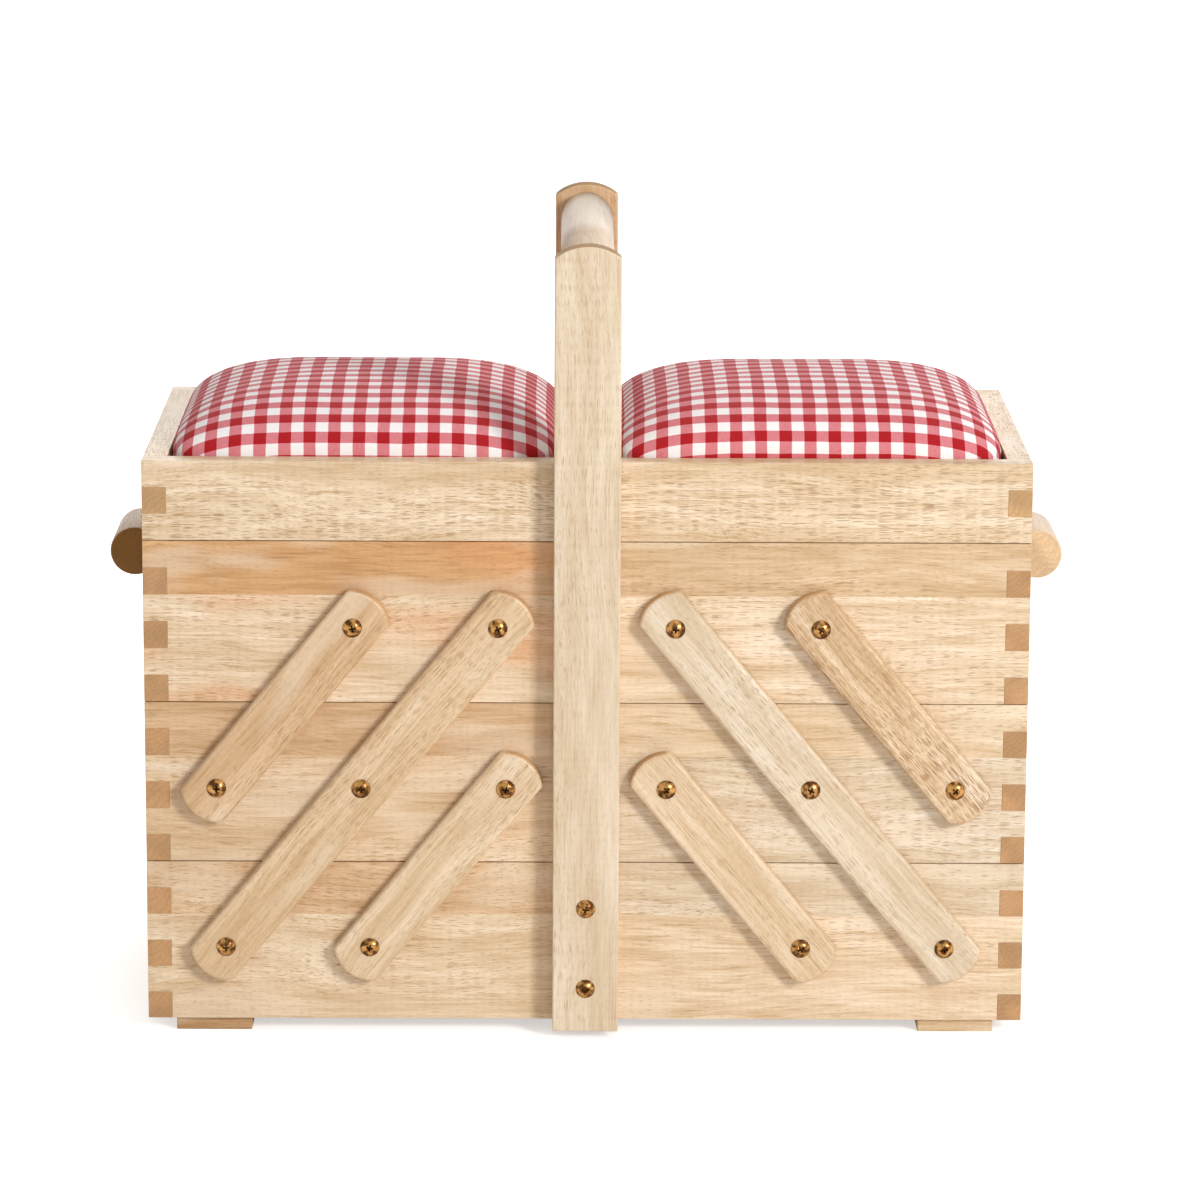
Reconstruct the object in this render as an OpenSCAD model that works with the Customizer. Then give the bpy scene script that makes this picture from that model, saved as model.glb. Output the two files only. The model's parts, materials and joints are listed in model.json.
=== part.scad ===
// Three-tier wooden sewing carrier: a full-length base tray, two pairs of trays that
// swing out on link arms, and two padded lids. Millimetres, +Z up, +X to the right,
// front towards -Y, origin on the floor under the middle of the box.

/* [Box] */
// Length of the closed box over its end walls
box_len = 440; // [400:1:520]
// Depth of the base tray over its front and rear walls
box_depth = 210; // [180:1:260]
// Thickness of the wall boards
board = 12; // [10:0.5:14]
// Height of each tray
tray_h = 81.6; // [78:0.2:92]
// Height of each lid frame
lid_h = 40; // [36:0.5:50]
// Gap between one tier and the next
tier_gap = 0.4; // [0.3:0.1:0.8]
// Gap between the left and the right half where they meet
centre_gap = 2; // [1:0.5:4]
// Play between the upper trays and each post
tray_play = 0.3; // [0.2:0.1:0.5]
// Finger rows in a tray corner
tray_rows = 6; // [4:2:8]
// Finger rows in a lid corner
lid_rows = 3; // [3:2:5]

/* [Panels] */
// Thickness of the bottom panels and lid boards
panel_t = 4; // [3:0.5:5]
// Height of a tray's bottom panel above the lower edge of its walls
panel_rise = 4; // [3:0.5:8]
// Height of a lid board above the lower edge of its frame
lid_board_rise = 8; // [5:0.5:12]
// Depth of the grooves that hold the panels
groove_depth = 5; // [3:0.5:6]
// Clearance of a panel in its groove
groove_fit = 0.1; // [0.05:0.05:0.3]

/* [Feet] */
// Height of the feet
foot_h = 7; // [5:0.5:12]
// Length of a foot along the box
foot_len = 38; // [30:1:50]
// Width of a foot across the box
foot_w = 30; // [20:1:40]
// Distance of a foot from the end of the box
foot_inset_x = 14; // [6:1:30]
// Distance of a foot from the front or rear face of the box
foot_inset_y = 3; // [1:0.5:10]

/* [Posts and carrying bar] */
// Height of the posts' crowns above the floor
post_top = 402; // [390:1:460]
// Width of a post
post_w = 33; // [26:0.5:38]
// Thickness of a post
post_t = 12; // [9:0.5:16]
// Rise of the arched top over the post's shoulders
post_arch = 6; // [4:0.5:9]
// Height of the post's lower end above the floor
post_low = 4; // [2:0.5:6]
// Height of the lower post screw above the lower edge of the base tray
post_screw_rise = 19.5; // [15:0.5:25]
// Distance between the two post screws
post_screw_pitch = 41.5; // [30:0.5:50]
// Diameter of the carrying bar
bar_d = 27; // [22:0.5:30]
// Distance from the crown of a post down to the top of the bar
bar_drop = 4; // [3:0.5:12]
// Diameter of the tenons on the ends of the bar
tenon_d = 14; // [10:0.5:18]
// Length of the tenons
tenon_len = 8; // [5:0.5:9]

/* [Link arms] */
// Width of an arm
arm_w = 27; // [22:0.5:30]
// Thickness of an arm
arm_t = 7; // [5:0.5:9]
// Bevel along the outer edges of an arm
arm_edge = 1.8; // [1:0.1:2.5]
// Radius of the curved ends of an arm
arm_end_r = 19; // [17:0.5:24]
// Distance from the last pivot to the crown of an arm's end
arm_crown = 18; // [15:0.5:20]
// Gap between an arm and the base tray
arm_gap = 0.3; // [0.2:0.1:0.6]
// Distance from the end of the box to the outermost pivot
arm_end = 36; // [28:1:44]
// Distance from the side of the post to the innermost pivot
arm_post = 23.5; // [20:0.5:30]
// Distance by which the long arm's end pivots lie further in than those of the short arms
arm_stagger = 4; // [1:0.5:8]
// Height of the pivots above the lower edge of each tray
pivot_rise = 39.5; // [35:0.5:48]

/* [Screws] */
// Diameter of the pivot and post screw shanks
screw_d = 5; // [4:0.25:6]
// Diameter of their heads
head_d = 9.5; // [8:0.25:11]
// Height of their domed heads
head_h = 2.4; // [1.5:0.1:3]
// Play between a head and the arm that turns under it
head_play = 0.2; // [0.1:0.1:0.4]
// Radial play of an arm on its screw
pivot_fit = 0.05; // [0.02:0.01:0.1]
// Depth of the screws in the wall boards
screw_bite = 9; // [6:0.5:9.5]
// Width of the cross slots in the heads
slot_w = 1; // [0.7:0.1:1.4]
// Depth of the cross slots
slot_deep = 1.3; // [0.8:0.1:1.6]

/* [Side handles] */
// Diameter of the dowels on the end walls
grip_d = 25; // [20:0.5:28]
// Length of the dowels
grip_len = 50; // [40:1:70]
// Distance from the end wall to the dowel's axis
grip_out = 10.5; // [8:0.5:11.5]
// Distance from the top of the tray down to the dowel's axis
grip_drop = 22; // [18:0.5:30]
// Diameter of the screws that hold a dowel
grip_screw_d = 4; // [3:0.25:5]
// Depth of those screws in the dowel
grip_screw_bite = 14; // [10:0.5:15]
// Distance between the two screws of a dowel
grip_screw_pitch = 28; // [20:1:32]

/* [Lid hinges] */
// Length of a hinge
hinge_len = 26; // [24:1:32]
// Distance of each hinge from the middle of the end wall
hinge_from_middle = 34; // [20:1:60]
// Thickness of a hinge leaf
leaf_t = 1.2; // [1:0.1:1.6]
// Width of a leaf on the edge of the board
leaf_w = 9; // [7:0.5:9.5]
// Outer diameter of the knuckles
knuckle_d = 4.8; // [4:0.1:5.5]
// Diameter of the hinge pin
pin_d = 2.4; // [1.8:0.1:2.6]
// Clearance between a knuckle and the end wall, and between knuckles
knuckle_fit = 0.3; // [0.2:0.05:0.5]

/* [Cushions] */
// Height of the crown above the rim of the lid frame
crown_h = 27; // [15:1:34]
// Width of the rounded shoulder from the rim to the flat top
shoulder_w = 75; // [40:1:85]
// Gap between a cushion and the lid frame
cushion_gap = 0.4; // [0.3:0.1:1]
// Amount by which the corners draw in
corner_draw = 4; // [2:0.5:8]

/* [Hidden] */

// Roundness of circles
$fn = 64;
// Length by which a cutter runs past the face it cuts
over = 1;

rubberwood = [0.92, 0.81, 0.63];
pale_wood = [0.93, 0.85, 0.70];
arm_wood = [0.88, 0.76, 0.56];
end_wood = [0.84, 0.68, 0.48];
plywood = [0.86, 0.74, 0.55];
brass = [0.62, 0.45, 0.16];
gingham_red = [0.80, 0.30, 0.34];

// A box is [left x, right x, depth, lower z, height, finger rows, panel rise]
tier_pitch = tray_h + tier_gap;
half_left = -box_len / 2;
half_right = -centre_gap / 2;
upper_depth = box_depth - 2 * tray_play;
base_box = [half_left, -half_left, box_depth, foot_h, tray_h, tray_rows, panel_rise];
middle_box = [half_left, half_right, upper_depth, foot_h + tier_pitch, tray_h, tray_rows, panel_rise];
top_box = [half_left, half_right, upper_depth, foot_h + 2 * tier_pitch, tray_h, tray_rows, panel_rise];
lid_box = [half_left, half_right, upper_depth, foot_h + 3 * tier_pitch, lid_h, lid_rows, lid_board_rise];

// Pivot heights of the three tiers, and the pivots' places along the left half. The
// outermost pivot is the upper arm's lower one, the innermost the lower arm's upper one
base_pivot_z = foot_h + pivot_rise;
middle_pivot_z = base_pivot_z + tier_pitch;
top_pivot_z = middle_pivot_z + tier_pitch;
outermost_x = half_left + arm_end;
innermost_x = -post_w / 2 - arm_post;
arm_shift = (innermost_x - outermost_x) / 2 - arm_stagger;
long_x = [for (i = [0:2]) outermost_x + arm_stagger + i * arm_shift];
lower_x = [innermost_x - arm_shift, innermost_x];
upper_x = [outermost_x, outermost_x + arm_shift];
arm_pitch = norm([arm_shift, tier_pitch]);
arm_angle = atan2(tier_pitch, arm_shift);

// Faces in front of the base tray, one behind the other
base_face = box_depth / 2;
upper_face = upper_depth / 2;
arm_inner_face = base_face + arm_gap;
arm_outer_face = arm_inner_face + arm_t;
head_face = arm_outer_face + head_play;
post_face = base_face + post_t;

post_arch_r = (pow(post_w / 2, 2) + pow(post_arch, 2)) / (2 * post_arch);
bar_z = post_top - bar_drop - bar_d / 2;
head_ball_r = (pow(head_d / 2, 2) + pow(head_h, 2)) / (2 * head_h);

grip_z = top_box[3] + tray_h - grip_drop;
grip_head_d = 7;
grip_head_h = 1.8;
seam_z = lid_box[3] - tier_gap / 2;
hinge_x = half_left - knuckle_d / 2 - knuckle_fit;
hinge_centres = [-hinge_from_middle, hinge_from_middle];
knuckle_len = (hinge_len - 2 * knuckle_fit) / 3;
hinge_screw_d = 2;
hinge_screw_head_d = 3.8;
hinge_screw_len = 8;
hinge_screw_cone = 1;
hinge_screw_from_middle = hinge_len / 3;

// The right half is the mirror image of the left
module on_side(side) {
    if (side == "right") mirror([1, 0, 0]) children();
    else children();
}

module front_and_rear() {
    children();
    mirror([0, 1, 0]) children();
}

// Space that a box's panel takes in the walls, grown by a clearance
module panel_space(b, grow) {
    inset = board - groove_depth - grow;
    translate([b[0] + inset, -b[2] / 2 + inset, b[3] + b[6] - grow])
        cube([b[1] - b[0] - 2 * inset, b[2] - 2 * inset, panel_t + 2 * grow]);
}

// Finger notches at both ends of a wall: every second row, counted from the top
module notches(length, h, rows, first) {
    row_h = h / rows;
    for (i = [first:2:rows - 1], at = [-over, length - board])
        translate([at, -over, h - (i + 1) * row_h])
            cube([board + over, board + 2 * over, row_h]);
}

module front_wall(b) {
    length = b[1] - b[0];
    difference() {
        translate([b[0], -b[2] / 2, b[3]])
            difference() {
                cube([length, board, b[4]]);
                notches(length, b[4], b[5], 1);
            }
        panel_space(b, groove_fit);
    }
}

module rear_wall(b) {
    mirror([0, 1, 0]) front_wall(b);
}

// End wall whose outer face lies at x, with the box on its right
module end_wall(b, x) {
    difference() {
        translate([x + board, -b[2] / 2, b[3]])
            rotate([0, 0, 90])
                difference() {
                    cube([b[2], board, b[4]]);
                    notches(b[2], b[4], b[5], 0);
                }
        panel_space(b, groove_fit);
    }
}

module outer_wall(b) {
    end_wall(b, b[0]);
}

module inner_wall(b) {
    end_wall(b, b[1] - board);
}

// Screw along +Y, with the underside of its domed head at y = 0
module domed_screw(length) {
    rotate([-90, 0, 0]) {
        cylinder(h = length, d = screw_d);
        difference() {
            intersection() {
                translate([0, 0, head_ball_r - head_h]) sphere(r = head_ball_r);
                translate([0, 0, -head_h]) cylinder(h = head_h, d = head_d);
            }
            for (turn = [45, 135])
                rotate([0, 0, turn])
                    translate([-head_d * 0.3, -slot_w / 2, -head_h - over])
                        cube([head_d * 0.6, slot_w, slot_deep + over]);
        }
    }
}

// Pivot screws of one tier, in the front and the rear wall
module tier_screws(xs, z, face) {
    front_and_rear()
        for (x = xs)
            translate([x, -head_face, z])
                domed_screw(head_face - face + screw_bite);
}

module screw_holes(xs, z, face) {
    for (x = xs)
        translate([x, -face - over, z])
            rotate([-90, 0, 0])
                cylinder(h = screw_bite + 2 * over, d = screw_d + 2 * pivot_fit);
}

module post_screw_places() {
    for (i = [0:1])
        translate([0, 0, foot_h + post_screw_rise + i * post_screw_pitch]) children();
}

// Arm lying along +X from its first pivot, flat on z = 0, with its upper edges bevelled
module arm_bar(from, to) {
    translate([from, 0, 0])
        rotate([90, 0, 90])
            linear_extrude(to - from)
                polygon([
                    [-arm_w / 2, 0], [arm_w / 2, 0], [arm_w / 2, arm_t - arm_edge],
                    [arm_w / 2 - arm_edge, arm_t], [arm_edge - arm_w / 2, arm_t],
                    [-arm_w / 2, arm_t - arm_edge]
                ]);
}

module arm_end_disc() {
    rotate_extrude()
        polygon([
            [0, 0], [arm_end_r, 0], [arm_end_r, arm_t - arm_edge],
            [arm_end_r - arm_edge, arm_t], [0, arm_t]
        ]);
}

module arm(steps) {
    length = steps * arm_pitch;
    inset = arm_end_r - arm_crown;
    difference() {
        union() {
            arm_bar(inset, length - inset);
            intersection() {
                arm_bar(-arm_crown - over, inset);
                translate([inset, 0, 0]) arm_end_disc();
            }
            intersection() {
                arm_bar(length - inset, length + arm_crown + over);
                translate([length - inset, 0, 0]) arm_end_disc();
            }
        }
        for (i = [0:steps])
            translate([i * arm_pitch, 0, -over])
                cylinder(h = arm_t + 2 * over, d = screw_d + 2 * pivot_fit);
    }
}

// One arm on the front and one on the rear, rising inwards from a pivot
module arm_pair(x, z, steps) {
    color(arm_wood)
        front_and_rear()
            translate([x, -arm_inner_face, z])
                rotate([90, 0, 0])
                    rotate([0, 0, arm_angle])
                        arm(steps);
}

module base_front_wall() {
    color(rubberwood)
        difference() {
            front_wall(base_box);
            screw_holes([long_x[0], lower_x[0], -lower_x[0], -long_x[0]], base_pivot_z, base_face);
            post_screw_places()
                screw_holes([0], 0, base_face);
        }
}

module base_rear_wall() {
    mirror([0, 1, 0]) base_front_wall();
}

module base_left_wall() {
    color(rubberwood) outer_wall(base_box);
}

module base_right_wall() {
    color(rubberwood) inner_wall(base_box);
}

module base_bottom_panel() {
    color(plywood) panel_space(base_box, 0);
}

module base_feet() {
    color(end_wood)
        for (sx = [0, 1], sy = [0, 1])
            mirror([sx, 0, 0])
                mirror([0, sy, 0])
                    translate([half_left + foot_inset_x, -base_face + foot_inset_y, 0])
                        cube([foot_len, foot_w, foot_h]);
}

module front_post() {
    shoulder = post_top - post_arch;
    color(pale_wood)
        difference() {
            union() {
                translate([-post_w / 2, -post_face, post_low])
                    cube([post_w, post_t, shoulder - post_low]);
                intersection() {
                    translate([-post_w / 2, -post_face, shoulder])
                        cube([post_w, post_t, post_arch + over]);
                    translate([0, -post_face, post_top - post_arch_r])
                        rotate([-90, 0, 0])
                            cylinder(h = post_t, r = post_arch_r, $fn = 128);
                }
            }
            translate([0, -base_face - tenon_len - pivot_fit, bar_z])
                rotate([-90, 0, 0])
                    cylinder(h = tenon_len + over, d = tenon_d + 2 * pivot_fit);
            post_screw_places()
                translate([0, -post_face - over, 0])
                    rotate([-90, 0, 0])
                        cylinder(h = post_t + 2 * over, d = screw_d + 2 * pivot_fit);
        }
}

module rear_post() {
    mirror([0, 1, 0]) front_post();
}

module carrying_bar() {
    color(end_wood)
        translate([0, 0, bar_z])
            rotate([-90, 0, 0]) {
                translate([0, 0, -base_face]) cylinder(h = box_depth, d = bar_d);
                translate([0, 0, -base_face - tenon_len])
                    cylinder(h = box_depth + 2 * tenon_len, d = tenon_d);
            }
}

module base_pivot_screws() {
    color(brass)
        tier_screws([long_x[0], lower_x[0], -lower_x[0], -long_x[0]], base_pivot_z, base_face);
}

module post_screws() {
    color(brass)
        front_and_rear()
            post_screw_places()
                translate([0, -post_face, 0])
                    domed_screw(post_t + screw_bite);
}

module long_arms() {
    arm_pair(long_x[0], base_pivot_z, 2);
}

module lower_arms() {
    arm_pair(lower_x[0], base_pivot_z, 1);
}

module upper_arms() {
    arm_pair(upper_x[0], middle_pivot_z, 1);
}

module middle_front_wall() {
    color(rubberwood)
        difference() {
            front_wall(middle_box);
            screw_holes([upper_x[0], long_x[1], lower_x[1]], middle_pivot_z, upper_face);
        }
}

module middle_rear_wall() {
    mirror([0, 1, 0]) middle_front_wall();
}

module middle_outer_wall() {
    color(rubberwood) outer_wall(middle_box);
}

module middle_inner_wall() {
    color(rubberwood) inner_wall(middle_box);
}

module middle_panel() {
    color(plywood) panel_space(middle_box, 0);
}

module middle_screws() {
    color(brass)
        tier_screws([upper_x[0], long_x[1], lower_x[1]], middle_pivot_z, upper_face);
}

module top_front_wall() {
    color(rubberwood)
        difference() {
            front_wall(top_box);
            screw_holes([upper_x[1], long_x[2]], top_pivot_z, upper_face);
        }
}

module top_rear_wall() {
    mirror([0, 1, 0]) top_front_wall();
}

module grip_screw_places() {
    for (y = [-grip_screw_pitch / 2, grip_screw_pitch / 2])
        translate([half_left + board, y, grip_z])
            rotate([0, -90, 0]) children();
}

module top_outer_wall() {
    color(rubberwood)
        difference() {
            outer_wall(top_box);
            grip_screw_places()
                translate([0, 0, -over])
                    cylinder(h = board + 2 * over, d = grip_screw_d + 2 * pivot_fit);
            hinge_recesses(-1);
        }
}

module top_inner_wall() {
    color(rubberwood) inner_wall(top_box);
}

module top_panel() {
    color(plywood) panel_space(top_box, 0);
}

// The pivot screws of a top tray, and the two screws that hold its side handle
module top_screws() {
    color(brass) {
        tier_screws([upper_x[1], long_x[2]], top_pivot_z, upper_face);
        grip_screw_places() {
            cylinder(h = board + grip_screw_bite, d = grip_screw_d);
            translate([0, 0, -grip_head_h]) cylinder(h = grip_head_h, d = grip_head_d);
        }
    }
}

module side_handle() {
    color(end_wood)
        difference() {
            translate([half_left - grip_out, grip_len / 2, grip_z])
                rotate([90, 0, 0])
                    cylinder(h = grip_len, d = grip_d);
            translate([half_left, -grip_len, grip_z - grip_d])
                cube([grip_d, 2 * grip_len, 2 * grip_d]);
            grip_screw_places()
                cylinder(h = board + grip_screw_bite + pivot_fit, d = grip_screw_d + 2 * pivot_fit);
        }
}

// Hinge parts are drawn with the pin's axis along y at the origin. Up is 1 for the
// leaf on the lid and -1 for the leaf on the tray
module hinge_places() {
    for (y = hinge_centres)
        translate([hinge_x, y, seam_z]) children();
}

module leaf_plate(up, grow) {
    near = half_left - hinge_x - grow;
    low = tier_gap / 2 - grow;
    translate([near, -hinge_len / 2 - grow, up > 0 ? low : -low - leaf_t - grow])
        cube([leaf_w + 2 * grow, hinge_len + 2 * grow, leaf_t + grow]);
}

module knuckle(y) {
    translate([0, y - knuckle_len / 2, 0])
        rotate([-90, 0, 0])
            cylinder(h = knuckle_len, d = knuckle_d);
}

module leaf_neck(y, up) {
    translate([0, y - knuckle_len / 2, up > 0 ? tier_gap / 2 : -tier_gap / 2 - leaf_t])
        cube([half_left - hinge_x + over, knuckle_len, leaf_t]);
}

module leaf_screw_places(up) {
    for (y = [-hinge_screw_from_middle, hinge_screw_from_middle])
        translate([half_left - hinge_x + leaf_w / 2, y, up * tier_gap / 2])
            mirror([0, 0, up > 0 ? 0 : 1]) children();
}

module leaf_screw(grow) {
    cylinder(h = hinge_screw_len + grow, d = hinge_screw_d + 2 * grow);
    cylinder(h = hinge_screw_cone, d1 = hinge_screw_head_d + 2 * grow, d2 = hinge_screw_d + 2 * grow);
}

module hinge_leaf(up, knuckles) {
    difference() {
        union() {
            leaf_plate(up, 0);
            for (y = knuckles) {
                knuckle(y);
                leaf_neck(y, up);
            }
        }
        translate([0, -hinge_len, 0])
            rotate([-90, 0, 0])
                cylinder(h = 2 * hinge_len, d = pin_d + 2 * pivot_fit);
        leaf_screw_places(up) leaf_screw(pivot_fit);
    }
    leaf_screw_places(up) leaf_screw(0);
}

module hinge_recesses(up) {
    hinge_places() {
        leaf_plate(up, pivot_fit);
        leaf_screw_places(up) leaf_screw(pivot_fit);
    }
}

module tray_hinge_leaves() {
    step = knuckle_len + knuckle_fit;
    color(brass) hinge_places() hinge_leaf(-1, [-step, step]);
}

module lid_hinge_leaves() {
    color(brass)
        hinge_places() {
            hinge_leaf(1, [0]);
            translate([0, -hinge_len / 2, 0])
                rotate([-90, 0, 0])
                    cylinder(h = hinge_len, d = pin_d);
        }
}

module lid_front_rail() {
    color(rubberwood) front_wall(lid_box);
}

module lid_rear_rail() {
    color(rubberwood) rear_wall(lid_box);
}

module lid_outer_rail() {
    color(rubberwood)
        difference() {
            outer_wall(lid_box);
            hinge_recesses(1);
        }
}

module lid_inner_rail() {
    color(rubberwood) inner_wall(lid_box);
}

module lid_board() {
    color(plywood) panel_space(lid_box, 0);
}

// Cushion: its plan is a grid whose lines crowd towards the edges. The height follows
// the same rounded shoulder along and across, and the corners draw in
cushion_size = [half_right - half_left - 2 * (board + cushion_gap), upper_depth - 2 * (board + cushion_gap)];
cushion_middle = [(half_left + half_right) / 2, 0];
cushion_cells = [24, 18];
cushion_low = lid_box[3] + lid_board_rise + panel_t;
rim_z = lid_box[3] + lid_h;
shoulder_power = 2.8;
crown_power = 1.9;

// Place of grid line i of n, from -1 to 1, crowded towards the ends
function grid_at(i, n) = sin(90 * (2 * i / n - 1));
function shoulder(inset) =
    let (t = min(1, max(0, inset / shoulder_w)))
    pow(max(0, 1 - pow(1 - t, shoulder_power)), 1 / crown_power);
function cushion_point(i, j) =
    let (
        u = grid_at(i, cushion_cells[0]),
        v = grid_at(j, cushion_cells[1]),
        half = cushion_size / 2,
        inset = [half[0] * (1 - abs(u)), half[1] * (1 - abs(v))],
        draw = corner_draw * pow(u * v, 8)
    )
    [
        cushion_middle[0] + half[0] * u - sign(u) * draw,
        half[1] * v - sign(v) * draw,
        rim_z + crown_h * shoulder(inset[0]) * shoulder(inset[1])
    ];

module cushion() {
    nx = cushion_cells[0];
    ny = cushion_cells[1];
    top = [for (j = [0:ny], i = [0:nx]) cushion_point(i, j)];
    rim = concat(
        [for (i = [0:nx - 1]) i],
        [for (j = [0:ny - 1]) j * (nx + 1) + nx],
        [for (i = [nx:-1:1]) ny * (nx + 1) + i],
        [for (j = [ny:-1:1]) j * (nx + 1)]
    );
    count = len(rim);
    low = [for (k = rim) [top[k][0], top[k][1], cushion_low]];
    centre = [[cushion_middle[0], cushion_middle[1], cushion_low]];
    first_low = len(top);
    centre_at = first_low + count;
    top_faces = [
        for (j = [0:ny - 1], i = [0:nx - 1])
            let (a = j * (nx + 1) + i, b = a + nx + 1)
            each [[a, a + 1 + nx + 1, a + 1], [a, b, b + 1]]
    ];
    side_faces = [
        for (k = [0:count - 1])
            let (m = (k + 1) % count)
            each [[rim[k], rim[m], first_low + m], [rim[k], first_low + m, first_low + k]]
    ];
    low_faces = [for (k = [0:count - 1]) [centre_at, first_low + k, first_low + (k + 1) % count]];
    color(gingham_red)
        polyhedron(points = concat(top, low, centre), faces = concat(top_faces, side_faces, low_faces));
}

base_front_wall();
base_rear_wall();
base_left_wall();
base_right_wall();
base_bottom_panel();
base_feet();
front_post();
rear_post();
carrying_bar();
base_pivot_screws();
post_screws();

for (side = ["left", "right"]) on_side(side) {
    long_arms();
    lower_arms();
    upper_arms();
    middle_front_wall();
    middle_rear_wall();
    middle_outer_wall();
    middle_inner_wall();
    middle_panel();
    middle_screws();
    top_front_wall();
    top_rear_wall();
    top_outer_wall();
    top_inner_wall();
    top_panel();
    top_screws();
    side_handle();
    tray_hinge_leaves();
    lid_front_rail();
    lid_rear_rail();
    lid_outer_rail();
    lid_inner_rail();
    lid_board();
    cushion();
    lid_hinge_leaves();
}
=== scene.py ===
"""Looks of a three-tier wooden sewing carrier with two padded gingham lids.

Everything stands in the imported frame: metres, +Z up, +X to the right, the front towards -Y.
Each sub-assembly is a class that shapes its pieces at the bench and gives them their finish.
"""
import json
import logging
import math
from collections.abc import Callable, Sequence
from dataclasses import dataclass
from enum import Enum

import bmesh
import bpy
from mathutils import Euler, Matrix, Vector


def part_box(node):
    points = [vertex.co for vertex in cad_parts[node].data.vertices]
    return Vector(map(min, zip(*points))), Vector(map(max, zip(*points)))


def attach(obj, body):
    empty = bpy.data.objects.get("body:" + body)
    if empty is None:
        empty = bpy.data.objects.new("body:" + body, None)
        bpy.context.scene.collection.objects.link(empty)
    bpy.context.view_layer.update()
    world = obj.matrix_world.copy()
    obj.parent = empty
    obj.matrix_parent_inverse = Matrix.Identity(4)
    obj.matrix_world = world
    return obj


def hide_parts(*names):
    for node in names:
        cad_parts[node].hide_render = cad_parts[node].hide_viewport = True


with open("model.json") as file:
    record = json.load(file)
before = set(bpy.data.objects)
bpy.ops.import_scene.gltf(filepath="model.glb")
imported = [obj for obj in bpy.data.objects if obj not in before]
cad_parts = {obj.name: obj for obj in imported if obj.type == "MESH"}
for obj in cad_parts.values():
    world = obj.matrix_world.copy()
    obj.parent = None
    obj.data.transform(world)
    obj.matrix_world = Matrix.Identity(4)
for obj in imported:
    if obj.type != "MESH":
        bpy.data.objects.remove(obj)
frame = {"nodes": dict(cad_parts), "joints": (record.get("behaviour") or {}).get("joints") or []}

log = logging.getLogger("sewing_carrier")

MM = 0.001
HINGE_LENGTH = 26 * MM
LEAF_THICKNESS = 1.2 * MM
LEAF_REACH = 2 * MM
ARM_PLAY = 0.3 * MM
# Places closer than this are the same, and a face turned this far along an axis is square to it
TOUCH = 1e-7
SQUARE = 0.999
# A height above every piece
NO_EDGE = 10.0
RIM_STEPS = 3
BORE_SIDES = 32

Colour = tuple[float, float, float, float]


# Directions, sides and wood tones

class Side(Enum):
    """The two halves of the carrier, as seen from the front."""

    LEFT = "left"
    RIGHT = "right"

    @property
    def outward(self) -> int:
        """Sign of x on the way from the middle of the carrier to this side."""
        return -1 if self is Side.LEFT else 1


class Grain(Enum):
    """Direction in which the grain of a piece runs, as the turn that lays it along X."""

    ALONG_X = (0.0, 0.0, 0.0)
    ALONG_Y = (0.0, 0.0, -math.pi / 2)
    ALONG_Z = (0.0, math.pi / 2, 0.0)


class Tone(Enum):
    """Mean colours of the carrier's woods, in display values from 0 to 255; two of the end tones also hold
    painted shade.
    """

    IVORY = (238, 214, 184)
    CREAM = (234, 209, 177)
    OAT = (226, 206, 179)
    BUFF = (229, 203, 169)
    SAND = (225, 195, 159)
    STRAW = (221, 190, 152)
    HONEY = (217, 181, 141)
    AMBER = (215, 168, 118)
    BLOCK = (184, 144, 100)
    DRIFTWOOD = (230, 211, 192)
    END_GRAIN = (194, 148, 103)
    WARM_END = (202, 160, 112)
    # End grain of the post tops, darkened further with painted shade so the tops look as if in shadow
    POST_END = (178, 140, 100)
    # Dark end grain of the left side handle, deepened with painted shade that stands in for the carrier's
    # shadow on it
    DARK_CORE = (142, 98, 42)

    @property
    def linear(self) -> Colour:
        """The tone in the linear values that a shader takes."""
        return display_colour(*self.value)


def display_colour(red: int, green: int, blue: int) -> Colour:
    """Turns a display colour into a shader's linear one.

    Args:
        red: Red from 0 to 255.
        green: Green from 0 to 255.
        blue: Blue from 0 to 255.

    Returns:
        The linear colour with an alpha of 1.
    """
    def channel(value: int) -> float:
        """One channel by the sRGB curve."""
        share = value / 255
        return share / 12.92 if share <= 0.04045 else ((share + 0.055) / 1.055) ** 2.4

    return channel(red), channel(green), channel(blue), 1.0


# Node trees

class Wire:
    """An output in a node tree, which takes part in sums like a number or a vector."""

    def __init__(self, sketch: "Sketch", socket: bpy.types.NodeSocket) -> None:
        """Keeps the output and the tree that it belongs to."""
        self.sketch = sketch
        self.socket = socket

    def combine(self, operation: str, first: "Value", second: "Value") -> "Wire":
        """Adds a Math node, or a Vector Math node where this output is a vector."""
        kind = "ShaderNodeMath" if self.socket.type == "VALUE" else "ShaderNodeVectorMath"
        return self.sketch.wire(kind, {0: first, 1: second}, operation=operation)

    def __add__(self, other: "Value") -> "Wire":
        """The sum of the two."""
        return self.combine("ADD", self, other)

    def __sub__(self, other: "Value") -> "Wire":
        """The other taken away from this."""
        return self.combine("SUBTRACT", self, other)

    def __mul__(self, other: "Value") -> "Wire":
        """The product of the two."""
        return self.combine("MULTIPLY", self, other)

    def __truediv__(self, other: "Value") -> "Wire":
        """This divided by the other."""
        return self.combine("DIVIDE", self, other)


Value = float | Sequence[float] | Wire


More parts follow.
